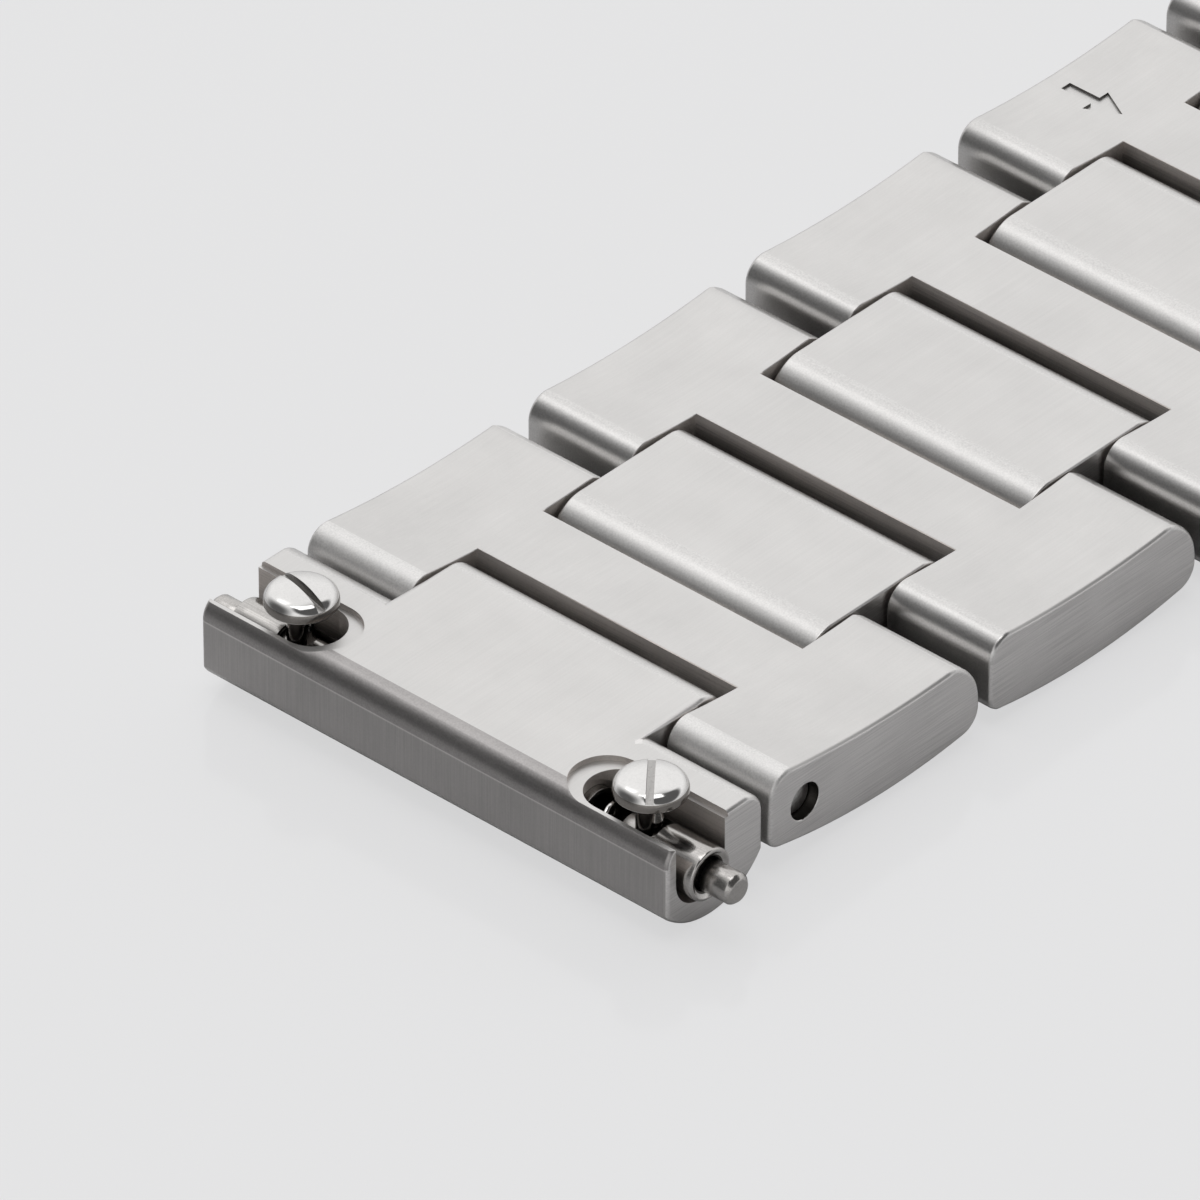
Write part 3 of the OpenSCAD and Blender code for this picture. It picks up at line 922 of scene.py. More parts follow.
@dataclass
class HLink:
    """An H-shaped link: two arms and the bridge between them, with a pin hole through each end."""

    band: Band
    front_top_r: float = 0.85
    front_bottom_r: float = 0.6
    rear_bottom_r: float = 0.85
    blind_wall: float = 0.9
    bevel: float = 0.16
    loose_links: int = 2
    hole_run: float = 0.01
    pin_sunk: float = 0.4
    arrow_at: tuple[float, float] = (0.85, 4.5)
    arrow_len: float = 2.5
    stem_len: float = 1.3
    head_half: float = 0.65
    stem_half: float = 0.22
    arrow_t: float = 0.09

    def outline(self) -> Outline:
        """Outline of the link: domed outer face, hollow inner face and rounded ends.

        Returns:
            The outline.
        """
        b = self.band
        middle = b.h_len / 2
        dome, hollow = (middle, b.outer_r), (middle, b.h_t + b.inner_r)
        keep = [b.front_in, *b.bridge, b.h_len - b.rear_in]

        def on_dome(r: float) -> float:
            """Height of the centre of a rounding that touches the end and the dome."""
            return b.outer_r - math.sqrt((b.outer_r - r) ** 2 - (middle - r) ** 2)

        made = Outline()
        r = self.front_bottom_r
        front = math.degrees(math.atan2(on_dome(r) - dome[1], r - middle)) % 360
        made.add(arc((r, on_dome(r)), r, 180, front), Side.ROUNDED, Side.OUTER)
        start = middle + b.outer_r * math.cos(math.radians(front))
        r = self.rear_bottom_r
        rear = math.degrees(math.atan2(on_dome(r) - dome[1], middle - r)) % 360
        stop = middle + b.outer_r * math.cos(math.radians(rear))
        made.add(bow(dome, b.outer_r, start, stop, keep, -1), Side.OUTER, Side.ROUNDED)
        made.add(arc((b.h_len - r, on_dome(r)), r, rear, 360), Side.ROUNDED, Side.ROUNDED)
        r = b.rear_in
        corner = (b.h_len - r, b.h_ends - r)
        turns = np.linspace(0, 90, 9001)
        ys, zs = corner[0] + r * np.cos(np.radians(turns)), corner[1] + r * np.sin(np.radians(turns))
        reach = np.hypot(ys - hollow[0], zs - hollow[1])
        meet = turns[int(np.argmin(np.abs(reach - b.inner_r)))]
        made.add(arc(corner, r, 0, meet), Side.ROUNDED, Side.INNER)
        begin = corner[0] + r * math.cos(math.radians(meet))
        r = self.front_top_r
        high = hollow[1] - math.sqrt((b.inner_r + r) ** 2 - (middle - r) ** 2)
        touch = math.degrees(math.atan2(hollow[1] - high, middle - r))
        end = r + r * math.cos(math.radians(touch))
        made.add(bow(hollow, b.inner_r, begin, end, keep, -1), Side.INNER, Side.ROUNDED)
        made.add(arc((r, high), r, touch, 180), Side.ROUNDED, Side.ROUNDED)
        return made

    def shell(self, open_front: bool, open_rear: bool) -> Shell:
        """Surface of the link: the outline carried across the band, cut back beside the bridge.

        Args:
            open_front: Whether the front pin hole goes through the right side.
            open_rear: Whether the rear pin hole goes through the right side.

        Returns:
            The shell.
        """
        b, line, made = self.band, self.outline(), Shell()
        xs = (-b.width / 2, -b.slot_half, b.slot_half, b.width / 2)
        rings = [made.ring(x, line.points) for x in xs]
        made.band(rings[0], rings[1], line.sides)
        made.band(rings[2], rings[3], line.sides)
        low = [line.at(y, False) for y in b.bridge]
        high = [line.at(y, True) for y in b.bridge]
        edges = list(range(low[0], low[1])) + list(range(high[1], high[0]))
        made.band(rings[1], rings[2], line.sides, edges)
        for i in (0, 1):
            made.face([rings[1][low[i]], rings[2][low[i]], rings[2][high[i]], rings[1][high[i]]], Side.CUT)
        pins = (b.front_in, b.h_len - b.rear_in)
        circles = {}
        for end, (y, through) in enumerate(zip(pins, (open_front, open_rear))):
            hole = arc((y, b.pin_z), b.pin_r + self.hole_run, -90, 270, HOLE_STEP)[:-1]
            for place, x in enumerate((*xs[:3], xs[3] if through else xs[3] - self.blind_wall)):
                circles[place, end] = made.ring(x, hole)
            for a, c in ((0, 1), (2, 3)):
                made.band(circles[a, end], circles[c, end], [Side.BORE] * len(hole))
            if not through:
                made.face(circles[3, end], Side.CUT)
        for place in (0, 3):
            plate, through = list(rings[place]), (open_front or place == 0, open_rear or place == 0)
            for end, y in enumerate(pins):
                if not through[end]:
                    continue
                ids = rings[place][line.at(y, False)], rings[place][line.at(y, True)]
                front, plate = split_plate(plate, list(circles[place, end]), *ids)
                made.face(front, Side.FLANK)
            made.face(plate, Side.FLANK)
        for place in (1, 2):
            ring = list(rings[place])
            ends = (ring[high[0]:] + ring[: low[0] + 1], ring[low[1]: high[1] + 1])
            for end, plate in enumerate(ends):
                ids = ring[line.at(pins[end], False)], ring[line.at(pins[end], True)]
                for part in split_plate(plate, list(circles[place, end]), *ids):
                    made.face(part, Side.CUT)
        return made

    def arrow(self) -> list[Shell]:
        """Cutter of the engraved arrow: a plain stem with a pointed head, sunk into the left arm.

        Returns:
            The cutter, as the only one of a list.
        """
        b = self.band
        tail, y = -b.width / 2 + self.arrow_at[0], self.arrow_at[1]
        stem, thin, wide = self.stem_len, self.stem_half, self.head_half
        half = [[0, thin], [stem, thin], [stem, wide]]
        plan = np.array([[x, -w] for x, w in half] + [[self.arrow_len, 0]] + half[::-1]) + [tail, y]
        tool = Shell()
        heights = (b.h_t - self.arrow_t, b.h_t + 0.5)
        rings = [tool.add(np.column_stack([plan, np.full(len(plan), z)])) for z in heights]
        tool.band(rings[0], rings[1], [Side.MARK] * len(plan))
        tool.face(rings[0], Side.INNER)
        tool.face(rings[1], Side.INNER)
        return [tool]

    def build(self, shop: Workshop) -> None:
        """Makes every H link and its pins, in both halves.

        Args:
            shop: The workshop.
        """
        b, finishes = self.band, shop.finishes
        for s in "ab":
            for k in range(1, b.links + 1):
                loose = k > b.links - self.loose_links
                open_front = k == 1 or loose
                place = b.half(s) @ b.at_link(k)
                coats = finishes.of_link(finishes.blasted if k == 1 else None)
                arrow = self.arrow() if loose else None
                link = self.shell(open_front, loose)
                shop.piece(f"link_{k}_{s}", link, coats, place, self.bevel, arrow)
                pins = self.pins(open_front, loose)
                shop.piece(f"link_pins_{k}_{s}", pins, [finishes.pin_end], place)

    def pins(self, open_front: bool, open_rear: bool) -> Shell:
        """The link's two pins: rods with a broken edge and a slight dome at each end.

        Args:
            open_front: Whether the front pin goes through the right side.
            open_rear: Whether the rear pin goes through the right side.

        Returns:
            One shell with both pins.
        """
        b, made = self.band, Shell()
        for y, through in ((b.front_in, open_front), (b.h_len - b.rear_in, open_rear)):
            sunk = self.pin_sunk
            left, right = -b.width / 2 + sunk, b.width / 2 - (sunk if through else self.blind_wall + 0.05)
            tip = np.array([[0.03, 0.0], [b.pin_r - 0.08, 0.01], [b.pin_r - 0.03, 0.03], [b.pin_r, 0.08]])
            far = tip[::-1] * [1, -1]
            profile = np.vstack([tip + [0, left], far + [0, right]])
            lathe(made, profile, "x", (0, y, b.pin_z), Side.INNER, 40)
        return made


@dataclass
class CentreLink:
    """A centre link: round at its front pin and squarer past its rear pin."""

    band: Band
    radius: float = 1.5
    reach: float = 1.22
    top_r: float = 1.0
    bottom_r: float = 0.9
    run: float = 0.05
    bevel: float = 0.08

    def outline(self) -> Outline:
        """Outline about the front pin.

        Returns:
            The outline.
        """
        span, r = self.band.centre_span, self.radius
        end = span + self.reach
        low = np.array([[0, -r], [span / 2, -r], [span, -r], [end - self.bottom_r, -r]])
        high = np.array([[end - self.top_r, r], [span, r], [span / 2, r], [0, r]])
        made = Outline()
        made.add(low, Side.OUTER, Side.OUTER)
        low_corner = (end - self.bottom_r, self.bottom_r - r)
        made.add(arc(low_corner, self.bottom_r, -90, 0), Side.ROUNDED, Side.ROUNDED)
        made.add(arc((end - self.top_r, r - self.top_r), self.top_r, 0, 90), Side.ROUNDED, Side.INNER)
        made.add(high if span < end - self.top_r else high[[1, 2, 3]], Side.INNER, Side.INNER)
        made.add(arc((0, 0), r, 90, 270)[:-1], Side.ROUNDED, Side.ROUNDED)
        return made

    def shell(self) -> Shell:
        """Surface of the centre link, with a hole through it for each pin.

        Returns:
            The shell.
        """
        line, made, half = self.outline(), Shell(), self.band.centre_w / 2
        rings = [made.ring(x, line.points) for x in (-half, half)]
        made.band(rings[0], rings[1], line.sides)
        plates = [list(ring) for ring in rings]
        for y in (0.0, self.band.centre_span):
            hole = arc((y, 0), self.band.pin_r + self.run, -90, 270, HOLE_STEP)[:-1]
            circles = [made.ring(x, hole) for x in (-half, half)]
            made.band(circles[0], circles[1], [Side.CUT] * len(hole))
            for i in (0, 1):
                ids = rings[i][line.at(y, False)], rings[i][line.at(y, True)]
                front, plates[i] = split_plate(plates[i], list(circles[i]), *ids)
                made.face(front, Side.FLANK)
        for plate in plates:
            made.face(plate, Side.FLANK)
        return made

    def build(self, shop: Workshop) -> None:
        """Makes every centre link, in both halves.

        Args:
            shop: The workshop.
        """
        b, coats = self.band, shop.finishes.of_link()
        for s in "ab":
            for k in range(1, b.links):
                place = b.half(s) @ moved_by(0, b.rear_pin(k), b.pin_line)
                shop.piece(f"centre_link_{k}_{s}", self.shell(), coats, place, self.bevel)


@dataclass
class EndLink:
    """The end link: a bar with a round outer face, its tongue, and a notch for each knob."""

    band: Band
    round_r: float = 2.85
    round_y: float = 2.1
    corner_r: float = 0.8
    top_r: float = 1.0
    bottom_r: float = 0.9
    reach: float = 1.22
    tongue_z: float = 0.52
    flat_from: float = 2.2
    hole_run: float = 0.05
    slot_r: float = 1.14
    slot_mid: float = 6.56
    recess_r: float = 1.29
    recess_mid: float = 6.09
    recess_t: float = 0.2
    bore_r: float = 0.94
    bevel: float = 0.17
    fine: float = 0.04

    def outlines(self) -> tuple[Outline, Outline]:
        """Outline of the bar alone, and of the bar with its tongue.

        Returns:
            Both outlines, in that order.
        """
        b = self.band
        y, r, top = self.round_y, self.round_r, b.end_h
        centre = (y, r)
        corner = self.corner_r
        tip = b.end_pin[0] + self.reach
        meet = y + math.sqrt(r**2 - (r - self.tongue_z) ** 2)
        under = bow(centre, r, 0, meet, [], -1)
        crown = arc((corner, top - corner), corner, 90, 180)
        flat = np.array([[b.end_len - corner, top], [self.flat_from, top], [corner, top]])
        bar, whole = Outline(), Outline()
        for line in (bar, whole):
            line.add(under, Side.OUTER, Side.OUTER)
        bar.add(bow(centre, r, meet, b.end_len, [], -1), Side.OUTER, Side.ROUNDED)
        bar.add(arc((b.end_len - corner, top - corner), corner, 0, 90), Side.ROUNDED, Side.INNER)
        pin = b.end_pin[0]
        low = self.tongue_z
        low_corner = (tip - self.bottom_r, low + self.bottom_r)
        high_corner = (tip - self.top_r, top - self.top_r)
        whole.add(np.array([[meet, low], [pin, low], [low_corner[0], low]]), Side.OUTER, Side.ROUNDED)
        whole.add(arc(low_corner, self.bottom_r, -90, 0), Side.ROUNDED, Side.ROUNDED)
        whole.add(arc(high_corner, self.top_r, 0, 90), Side.ROUNDED, Side.INNER)
        back = np.array([[high_corner[0], top], [pin, top], [b.end_len - corner, top]])
        whole.add(back, Side.INNER, Side.INNER)
        for line in (bar, whole):
            line.add(flat, Side.INNER, Side.ROUNDED)
            # The crown, the end link's front rounding, gets the painted dark reflection.
            line.add(crown, Side.CROWN, Side.FRONT)
        return bar, whole

    def shell(self) -> Shell:
        """Surface of the end link before the notches are cut.

        Returns:
            The shell.
        """
        b, made = self.band, Shell()
        bar, whole = self.outlines()
        half, tongue = b.width / 2, b.centre_w / 2
        outer = [made.ring(x, bar.points) for x in (-half, -tongue, tongue, half)]
        shared_low = int(np.argmin(np.hypot(*(bar.points - whole.points[BOW_POINTS - 1]).T)))
        start = whole.at(b.end_len - self.corner_r, True)
        stop = bar.at(b.end_len - self.corner_r, True)
        inner = []
        for x, ring in ((-tongue, outer[1]), (tongue, outer[2])):
            fresh = made.ring(x, whole.points[shared_low + 1 : start])
            inner.append(np.concatenate([ring[: shared_low + 1], fresh, ring[stop:]]))
        made.band(outer[0], outer[1], bar.sides)
        made.band(outer[2], outer[3], bar.sides)
        made.band(inner[0], inner[1], whole.sides)
        for ring in (outer[0], outer[3]):
            made.face(list(ring), Side.FLANK)
        hole = arc(b.end_pin, b.pin_r + self.hole_run, -90, 270, HOLE_STEP)[:-1]
        circles = [made.ring(x, hole) for x in (-tongue, tongue)]
        made.band(circles[0], circles[1], [Side.CUT] * len(hole))
        for ring, whole_ring, circle in zip(outer[1:3], inner, circles):
            plate = list(whole_ring[shared_low : start + 1]) + list(ring[shared_low + 1 : stop][::-1])
            ids = whole_ring[whole.at(b.end_pin[0], False)], whole_ring[whole.at(b.end_pin[0], True)]
            for part in split_plate(plate, list(circle), *ids):
                made.face(part, Side.FLANK)
        return made

    def notches(self) -> list[Shell]:
        """Cutters of the slots, shallow recesses and bores.

        Returns:
            The cutters.
        """
        y, z = self.band.bar
        far, above = self.band.width / 2 + 1, 5.0
        recess = (self.recess_r, self.recess_mid, self.band.end_h - self.recess_t)
        slot = (self.slot_r, self.slot_mid, z)
        made = []
        for m in (-1, 1):
            for r, middle, floor in (recess, slot):
                end = arc((middle, y), r, 90, 270, 5)
                plan = np.vstack([end, [[far, y - r], [far, y + r]]]) * [m, 1]
                tool = Shell()
                rings = [tool.add(np.column_stack([plan, np.full(len(plan), h)])) for h in (floor, above)]
                tool.band(rings[0], rings[1], [Side.CUT] * len(plan))
                tool.face(rings[0], Side.INNER if r == self.recess_r else Side.CUT)
                tool.face(rings[1], Side.CUT)
                made.append(tool)
            tool = Shell()
            ends = [[self.slot_r, m * (self.slot_mid - self.slot_r)], [self.slot_r, m * far]]
            lathe(tool, np.array(ends), "x", (0, y, z), Side.CUT, 72)
            made.append(tool)
        tool = Shell()
        deep = self.slot_mid - self.slot_r + 0.1
        lathe(tool, np.array([[self.bore_r, -deep], [self.bore_r, deep]]), "x", (0, y, z), Side.CUT, 72)
        made.append(tool)
        return made

    def build(self, shop: Workshop) -> None:
        """Makes both end links.

        Args:
            shop: The workshop.
        """
        coats = shop.finishes.of_link()
        for s in "ab":
            bar, notches = self.shell(), self.notches()
            place = self.band.half(s)
            shop.piece(f"end_link_{s}", bar, coats, place, self.bevel, notches, self.fine)


@dataclass
class SpringBar:
    """Spring bar of an end link: tube, plungers with their tips, slotted knobs and the spring."""

    band: Band
    shift: float = 0.43
    tube_half: float = 10.0
    tube_r: float = 0.93
    bore_r: float = 0.75
    tip_r: float = 0.55
    tip_out: float = 1.22
    shoulder: float = 9.66
    plunger_in: float = 6.56
    knob_x: float = 7.475
    knob_r: float = 1.23
    shank_r: float = 0.5
    head_z: float = 4.05
    side: float = 0.46
    crown: float = 0.25
    shoulder_r: float = 0.42
    slot: tuple[float, float] = (0.26, 0.36)
    turns: tuple[float, float] = (166.0, 130.0)
    travels: tuple[float, float] = (1.1, 1.6)
    neck_r: float = 0.375
    nick: float = 0.07
    window_run: float = 0.1
    coil_r: float = 0.55
    wire_r: float = 0.12
    half_coils: int = 7

    def tube(self) -> tuple[Shell, list[Shell]]:
        """Surface of the tube with turned-in ends, and the cutters of its windows.

        Returns:
            The tube's shell and the cutters.
        """
        made = Shell()
        half, r = self.tube_half, self.tube_r
        outside = np.array([
            [0.6, 0.3], [0.61, 0.12], [0.68, 0.09], [0.78, 0.03],
            [0.81, 0.0], [0.86, 0.0], [0.91, 0.03], [r, 0.08],
        ])
        right = outside * [1, -1] + [0, half]
        left = (outside + [0, -half])[::-1]
        middle = np.array([[r, -half + 0.5], [r, half - 0.5]])
        inside = np.array([[self.bore_r, half - 0.3], [self.bore_r, -half + 0.3]])
        profile = np.vstack([left[::-1], middle, right[::-1], inside])
        count = 64
        turns = np.linspace(0, 2 * np.pi, count, endpoint=False)
        rings = []
        for radius, x in profile:
            u, v = radius * np.cos(turns), radius * np.sin(turns)
            rings.append(made.add(np.column_stack([np.full(count, x), u, v])))
        for i, first in enumerate(rings):
            second = (i + 1) % len(rings)
            bored = max(profile[i, 0], profile[second, 0]) < self.bore_r + 0.01
            made.band(first, rings[second], [Turned.CUT if bored else Turned.OUTSIDE] * count)
        windows = []
        for m in (-1, 1):
            low = self.knob_x - self.shank_r - max(self.travels) - self.window_run
            high = self.knob_x + self.shank_r + self.window_run
            beside = self.shank_r + self.window_run / 2
            windows.append(self._block((low, high), (-beside, beside), (0.0, 2.0), m))
        return made, windows

    @staticmethod
    def _block(
        xs: tuple[float, float], ys: tuple[float, float], zs: tuple[float, float], m: int
    ) -> Shell:
        """A box-shaped cutter, mirrored in X where m is -1.

        Args:
            xs: Its two ends along X.
            ys: Its two ends along Y.
            zs: Its two ends along Z.
            m: 1 for the right side, -1 for the left.

        Returns:
            The cutter.
        """
        made = Shell()
        plan = np.array([[xs[0], ys[0]], [xs[1], ys[0]], [xs[1], ys[1]], [xs[0], ys[1]]]) * [m, 1]
        rings = [made.add(np.column_stack([plan, np.full(4, z)])) for z in zs]
        made.band(rings[0], rings[1], [Turned.CUT] * 4)
        made.face(rings[0], Turned.CUT)
        made.face(rings[1], Turned.CUT)
        return made

    def plunger(self, m: int) -> Shell:
        """Plunger in the tube and the tip that passes out of its end.

        Args:
            m: 1 for the right side, -1 for the left.

        Returns:
            The shell.
        """
        made, end = Shell(), self.tube_half + self.tip_out
        r, tip, neck, half = self.bore_r - 0.03, self.tip_r, self.neck_r, self.tube_half
        profile = np.array([
            [0.2, self.plunger_in], [r - 0.08, self.plunger_in], [r, self.plunger_in + 0.08],
            [r, self.shoulder], [neck, self.shoulder], [neck, half - 0.04], [tip - 0.06, half - 0.03],
            [tip, half + 0.02], [tip, end - 0.19], [tip - 0.02, end - 0.14], [tip - 0.12, end - 0.03],
            [tip - 0.16, end - 0.004], [tip - 0.2, end],
        ])
        lathe(made, profile * [1, m], "x", (0, 0, 0), Turned.OUTSIDE, 64)
        return made

    def knob(self, m: int, turn: float) -> tuple[Shell, list[Shell]]:
        """Knob with its shank and crowned head, and the cutter of its driver slot.

        Args:
            m: Side of the bar, -1 or 1.
            turn: Direction of the slot in degrees.

        Returns:
            The knob's shell and its cutters.
        """
        made = Shell()
        low = self.head_z - self.band.bar[1]
        top = low + self.side + self.crown
        big = (self.knob_r**2 + self.crown**2) / (2 * self.crown)
        r = self.shoulder_r
        ball = top - big
        centre = (self.knob_r - r, ball + math.sqrt((big - r) ** 2 - (self.knob_r - r) ** 2))
        touch = math.degrees(math.atan2(centre[1] - ball, centre[0]))
        nick, shank = self.nick, self.shank_r
        profile = np.vstack([
            [[shank, -0.35], [shank, low - 0.08], [shank + 0.02, low - 0.02], [shank + 0.08, low]],
            arc((self.knob_r - nick, low + nick), nick, -90, 0, 12),
            arc(centre, r, 0, touch, 4),
            arc((0, ball), big, touch, 89.4, 1.5)[1:],
        ])
        lathe(made, profile, "z", (m * self.knob_x, 0, 0), Turned.OUTSIDE, 96)
        # The upright side, and the rounding above it to well into its height, get a darker colour: a painted
        # dark reflection band.
        low_side, high_side = low + nick * 0.9, low + nick + r * 0.62
        heights = np.vstack(made.points)[:, 2]
        for i, ids in enumerate(made.faces):
            on_side = low_side <= heights[ids].mean() <= high_side and heights[ids].min() > low
            if len(ids) == 4 and on_side:
                made.sides[i] = Turned.EDGE
        blade = Shell()
        w, far = self.slot[0] / 2, self.knob_r * 1.6
        plan = np.array([[-far, -w], [far, -w], [far, w], [-far, w]])
        turned = plan @ turned_by("z", turn)[:2, :2].T + [m * self.knob_x, 0]
        rings = [blade.add(np.column_stack([turned, np.full(4, z)])) for z in (top - self.slot[1], top + 1)]
        blade.band(rings[0], rings[1], [Turned.CUT] * 4)
        blade.face(rings[0], Turned.CUT)
        blade.face(rings[1], Turned.CUT)
        return made, [blade]

    def build(self, shop: Workshop) -> None:
        """Makes the spring bar of each half.

        Args:
            shop: The workshop.
        """
        finishes = shop.finishes
        head_coats = [finishes.polished, finishes.slot, finishes.knob_side]
        # The tube's inside and its window faces get the painted shade of the holes.
        tube_coats = [finishes.tube, finishes.bore]
        for s in "ab":
            place = self.band.half(s) @ moved_by(self.shift, *self.band.bar)
            tube, windows = self.tube()
            shop.piece(f"bar_tube_{s}", tube, tube_coats, place, 0.0, windows, 0.02)
            for m, name, turn in ((-1, "left", self.turns[0]), (1, "right", self.turns[1])):
                shop.piece(f"plunger_{name}_{s}", self.plunger(m), [finishes.tip], place)
                head, slot = self.knob(m, turn)
                shop.piece(f"knob_{name}_{s}", head, head_coats, place, 0.0, slot, 0.03)
            self._springs(shop, s, place)

    def _springs(self, shop: Workshop, s: str, place: np.ndarray) -> None:
        """Makes the spring in two halves, one on the side of each knob.

        Args:
            shop: The workshop.
            s: Half of the bracelet, "a" or "b".
            place: Place of the bar.
        """
        end, wire = self.plunger_in - 0.02, self.wire_r
        spans = {"left": (-end, wire), "right": (-wire, end)}
        for (name, span), travel in zip(spans.items(), self.travels):
            coil = spring_shell(*span, self.coil_r, wire, self.half_coils)
            coats = [shop.finishes.polished]
            spring = shop.piece(f"bar_spring_{s}", coil, coats, place, part=f"_{name}")
            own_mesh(spring)


def spring_shell(x0: float, x1: float, coil_r: float, wire_r: float, coils: int) -> Shell:
    """A wire carried along a helix: the coil's radius turns round X while x grows evenly.

    Args:
        x0: Start of the spring.
        x1: End of the spring.
        coil_r: Radius of the coil at the wire's middle.
        wire_r: Radius of the wire.
        coils: Number of turns.

    Returns:
        The closed shell of the wire.
    """
    steps, sides = coils * 24, 10
    along = np.linspace(0, 1, steps + 1)[:, None]
    round_wire = np.linspace(0, 2 * np.pi, sides, endpoint=False)[None, :]
    turn = 2 * np.pi * coils * along
    radius = coil_r + wire_r * np.cos(round_wire)
    x = x0 + wire_r + (x1 - x0 - 2 * wire_r) * along + wire_r * np.sin(round_wire)
    grid = np.stack([x, radius * np.cos(turn), radius * np.sin(turn)], axis=2)
    made = Shell()
    rings = [made.add(grid[i]) for i in range(steps + 1)]
    for first, second in zip(rings, rings[1:]):
        made.band(first, second, [Turned.OUTSIDE] * sides)
    made.face(rings[0], Turned.OUTSIDE)
    made.face(rings[-1], Turned.OUTSIDE)
    return made


@dataclass
class Clasp:
    """Folding clasp between the halves, dressed on its CAD solids."""

    spring_x: tuple[float, float] = (6.87, 8.36)
    spring_z: float = 1.9
    coil_r: float = 0.66
    wire_r: float = 0.1
    coils: int = 3

    def build(self, shop: Workshop, nodes: dict[str, bpy.types.Object]) -> None:
        """Dresses the clasp's nodes and makes its button springs.

        Args:
            shop: The workshop.
            nodes: CAD nodes by name.
        """
        finishes = shop.finishes
        dressed = {
            "clasp_cover": (finishes.blade, 0.12),
            "clasp_middle_blade": (finishes.blade, 0.08),
            "clasp_base_blade": (finishes.blade, 0.1),
            "clasp_cover_pin": (finishes.turned, 0.05),
            "clasp_base_pin": (finishes.turned, 0.05),
            "catch_plate": (finishes.cut, 0.05),
            "catch_rivets": (finishes.polished, 0.06),
            "button_left": (finishes.polished, 0.12),
            "button_right": (finishes.polished, 0.12),
        }
        for name, (material, bevel) in dressed.items():
            shop.dress(nodes[name], material, bevel)
        for name, m in (("left", -1), ("right", 1)):
            ends = sorted(m * x for x in self.spring_x)
            coil = spring_shell(*ends, self.coil_r, self.wire_r, self.coils)
            node = f"button_spring_{name}"
            spring = shop.piece(node, coil, [finishes.polished], moved_by(0, 0, self.spring_z))
            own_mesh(spring)


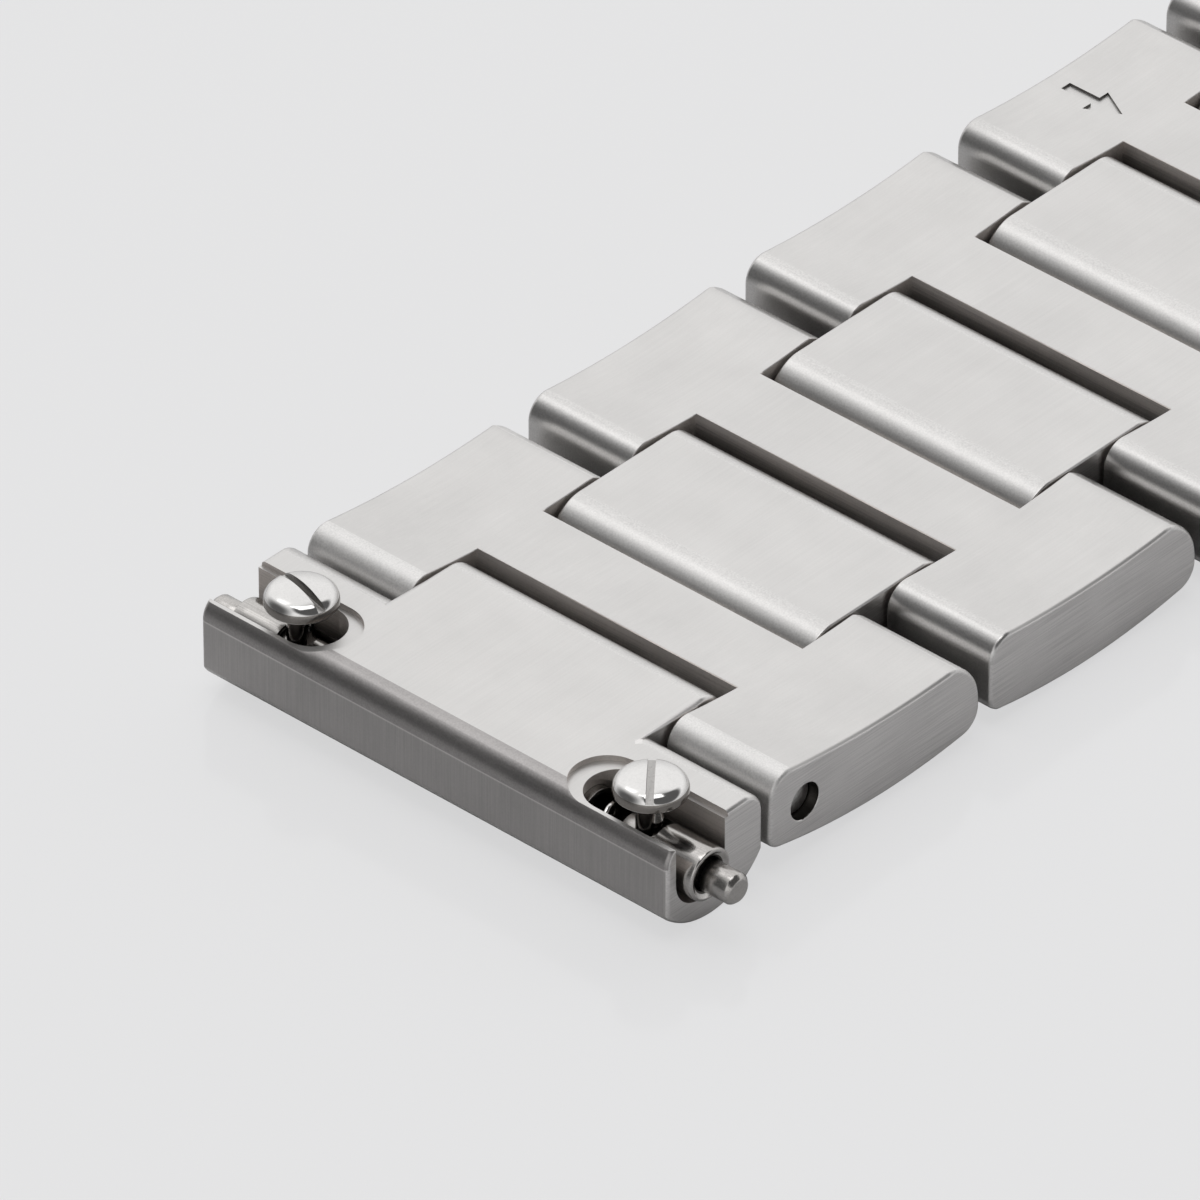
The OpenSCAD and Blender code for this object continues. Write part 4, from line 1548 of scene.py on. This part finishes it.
@dataclass
class Studio:
    """Pale floor, soft overhead light and the photograph's camera."""

    eye: tuple[float, float, float] = (0.32294, -0.42162, 0.35169)
    aim: tuple[float, float, float] = (-0.00404, -0.062015, -0.00013)
    lens: float = 560.3
    paper: tuple[float, float, float] = (0.86, 0.86, 0.866)
    dim: float = 0.16
    full: float = 1.56
    floor_r: float = 4000.0
    floor_z: float = -0.01
    floor_base: tuple[float, float, float] = (0.66, 0.66, 0.665)
    floor_rough: float = 0.12
    glow_share: float = 0.72
    horizon: tuple = ((-0.1, 0.5), (0.6, 1.0))
    dark_spots: tuple = (((-0.545, -0.77, 0.33), (0.58, 0.97)), ((0.588, 0.05, 0.802), (0.6, 0.78)))

    def build(self) -> None:
        """Makes the camera, floor, world and lamps."""
        scene = bpy.context.scene
        scene.view_settings.view_transform = "Standard"
        camera = bpy.data.cameras.new("camera")
        camera.lens = self.lens
        camera.sensor_width = 36.0
        camera.clip_start, camera.clip_end = 0.02, 20.0
        seen = bpy.data.objects.new("camera", camera)
        seen.location = self.eye
        look = Vector(self.aim) - Vector(self.eye)
        seen.rotation_euler = look.to_track_quat("-Z", "Y").to_euler()
        scene.collection.objects.link(seen)
        scene.camera = seen
        self._floor()
        self._world()
        self._lamp("overhead", (0.05, -0.05, 0.9), (0, -0.03, 0), 0.5, 1.6)
        self._lamp("edge_light", (-0.49, -0.03, 0.75), (0, -0.06, 0), 0.26, 0.1)

    def _floor(self) -> None:
        """A large pale disc just under the bracelet, which the camera sees as even paper."""
        made = Shell()
        rim = arc((0, 0), self.floor_r, 0, 360, 5)[:-1]
        ring = made.add(np.column_stack([rim, np.full(len(rim), self.floor_z)]))
        made.face(list(ring), Side.INNER)
        disc = bpy.data.objects.new("floor", made.mesh("floor"))
        bpy.context.scene.collection.objects.link(disc)
        for polygon in disc.data.polygons:
            if polygon.normal.z < 0:
                polygon.flip()
        paint = bpy.data.materials.new("floor_paper")
        paint.use_nodes = True
        nodes, links = paint.node_tree.nodes, paint.node_tree.links
        nodes.clear()
        out = nodes.new("ShaderNodeOutputMaterial")
        gloss = nodes.new("ShaderNodeBsdfPrincipled")
        gloss.inputs["Base Color"].default_value = (*self.floor_base, 1)
        gloss.inputs["Roughness"].default_value = self.floor_rough
        glow = nodes.new("ShaderNodeEmission")
        glow.inputs["Color"].default_value = (*self.paper, 1)
        mix = nodes.new("ShaderNodeMixShader")
        path = nodes.new("ShaderNodeLightPath")
        share = nodes.new("ShaderNodeMath")
        share.operation = "MULTIPLY"
        share.inputs[1].default_value = self.glow_share
        links.new(path.outputs["Is Camera Ray"], share.inputs[0])
        links.new(share.outputs[0], mix.inputs[0])
        links.new(gloss.outputs[0], mix.inputs[1])
        links.new(glow.outputs[0], mix.inputs[2])
        links.new(mix.outputs[0], out.inputs["Surface"])
        disc.data.materials.append(paint)

    def _world(self) -> None:
        """A bright room with two dark parts that the steel reflects; the camera sees plain paper.

        The brightness is dim + (full - dim) * height * spot * spot: height rises from 0.6 just
        below the horizon to 1 half-way up, and each spot from 0 at its middle to 1 outside it.
        """
        world = bpy.data.worlds.new("studio")
        bpy.context.scene.world = world
        world.use_nodes = True
        nodes, links = world.node_tree.nodes, world.node_tree.links
        nodes.clear()
        out = nodes.new("ShaderNodeOutputWorld")
        look = nodes.new("ShaderNodeTexCoord").outputs["Generated"]
        split = nodes.new("ShaderNodeSeparateXYZ")
        links.new(look, split.inputs[0])
        light = self._ramp(world, split.outputs["Z"], *self.horizon)
        for spot, (outer, inner) in self.dark_spots:
            towards = nodes.new("ShaderNodeVectorMath")
            towards.operation = "DOT_PRODUCT"
            towards.inputs[1].default_value = Vector(spot).normalized()
            links.new(look, towards.inputs[0])
            open_sky = self._ramp(world, towards.outputs["Value"], (outer, inner), (1.0, 0.0))
            both = nodes.new("ShaderNodeMath")
            both.operation = "MULTIPLY"
            links.new(light, both.inputs[0])
            links.new(open_sky, both.inputs[1])
            light = both.outputs[0]
        strength = nodes.new("ShaderNodeMath")
        strength.operation = "MULTIPLY_ADD"
        strength.inputs[1].default_value = self.full - self.dim
        strength.inputs[2].default_value = self.dim
        links.new(light, strength.inputs[0])
        room = nodes.new("ShaderNodeBackground")
        links.new(strength.outputs[0], room.inputs["Strength"])
        paper = nodes.new("ShaderNodeBackground")
        paper.inputs["Color"].default_value = (*self.paper, 1)
        mix = nodes.new("ShaderNodeMixShader")
        links.new(nodes.new("ShaderNodeLightPath").outputs["Is Camera Ray"], mix.inputs[0])
        links.new(room.outputs[0], mix.inputs[1])
        links.new(paper.outputs[0], mix.inputs[2])
        links.new(mix.outputs[0], out.inputs["Surface"])

    @staticmethod
    def _ramp(
        world: bpy.types.World,
        value: bpy.types.NodeSocket,
        span: tuple[float, float],
        to: tuple[float, float],
    ) -> bpy.types.NodeSocket:
        """Maps a value smoothly from one span to another.

        Args:
            world: World that gets the node.
            value: Socket with the value.
            span: Values where the change starts and ends.
            to: Results there.

        Returns:
            The mapped value.
        """
        fade = world.node_tree.nodes.new("ShaderNodeMapRange")
        fade.interpolation_type = "SMOOTHSTEP"
        fade.inputs["From Min"].default_value, fade.inputs["From Max"].default_value = span
        fade.inputs["To Min"].default_value, fade.inputs["To Max"].default_value = to
        world.node_tree.links.new(value, fade.inputs["Value"])
        return fade.outputs[0]

    @staticmethod
    def _lamp(
        name: str,
        place: tuple[float, float, float],
        aim: tuple[float, float, float],
        size: float,
        watts: float,
    ) -> None:
        """Adds a square area lamp.

        Args:
            name: Name of the lamp.
            place: Its place in metres.
            aim: Point it faces.
            size: Side of the square in metres.
            watts: Its power.
        """
        light = bpy.data.lights.new(name, "AREA")
        light.size = size
        light.energy = watts
        lamp = bpy.data.objects.new(name, light)
        lamp.location = place
        lamp.rotation_euler = (Vector(aim) - Vector(place)).to_track_quat("-Z", "Y").to_euler()
        bpy.context.scene.collection.objects.link(lamp)


def main() -> None:
    logging.basicConfig(level=logging.INFO, format="%(name)s: %(message)s")
    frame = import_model()
    finishes = Finishes()
    shop = Workshop(finishes, frame["record"]["behaviour"]["bodies"])
    band = Band()
    HLink(band).build(shop)
    CentreLink(band).build(shop)
    EndLink(band).build(shop)
    SpringBar(band).build(shop)
    Clasp().build(shop, frame["nodes"])
    Studio().build()


if __name__ == "__main__":
    main()
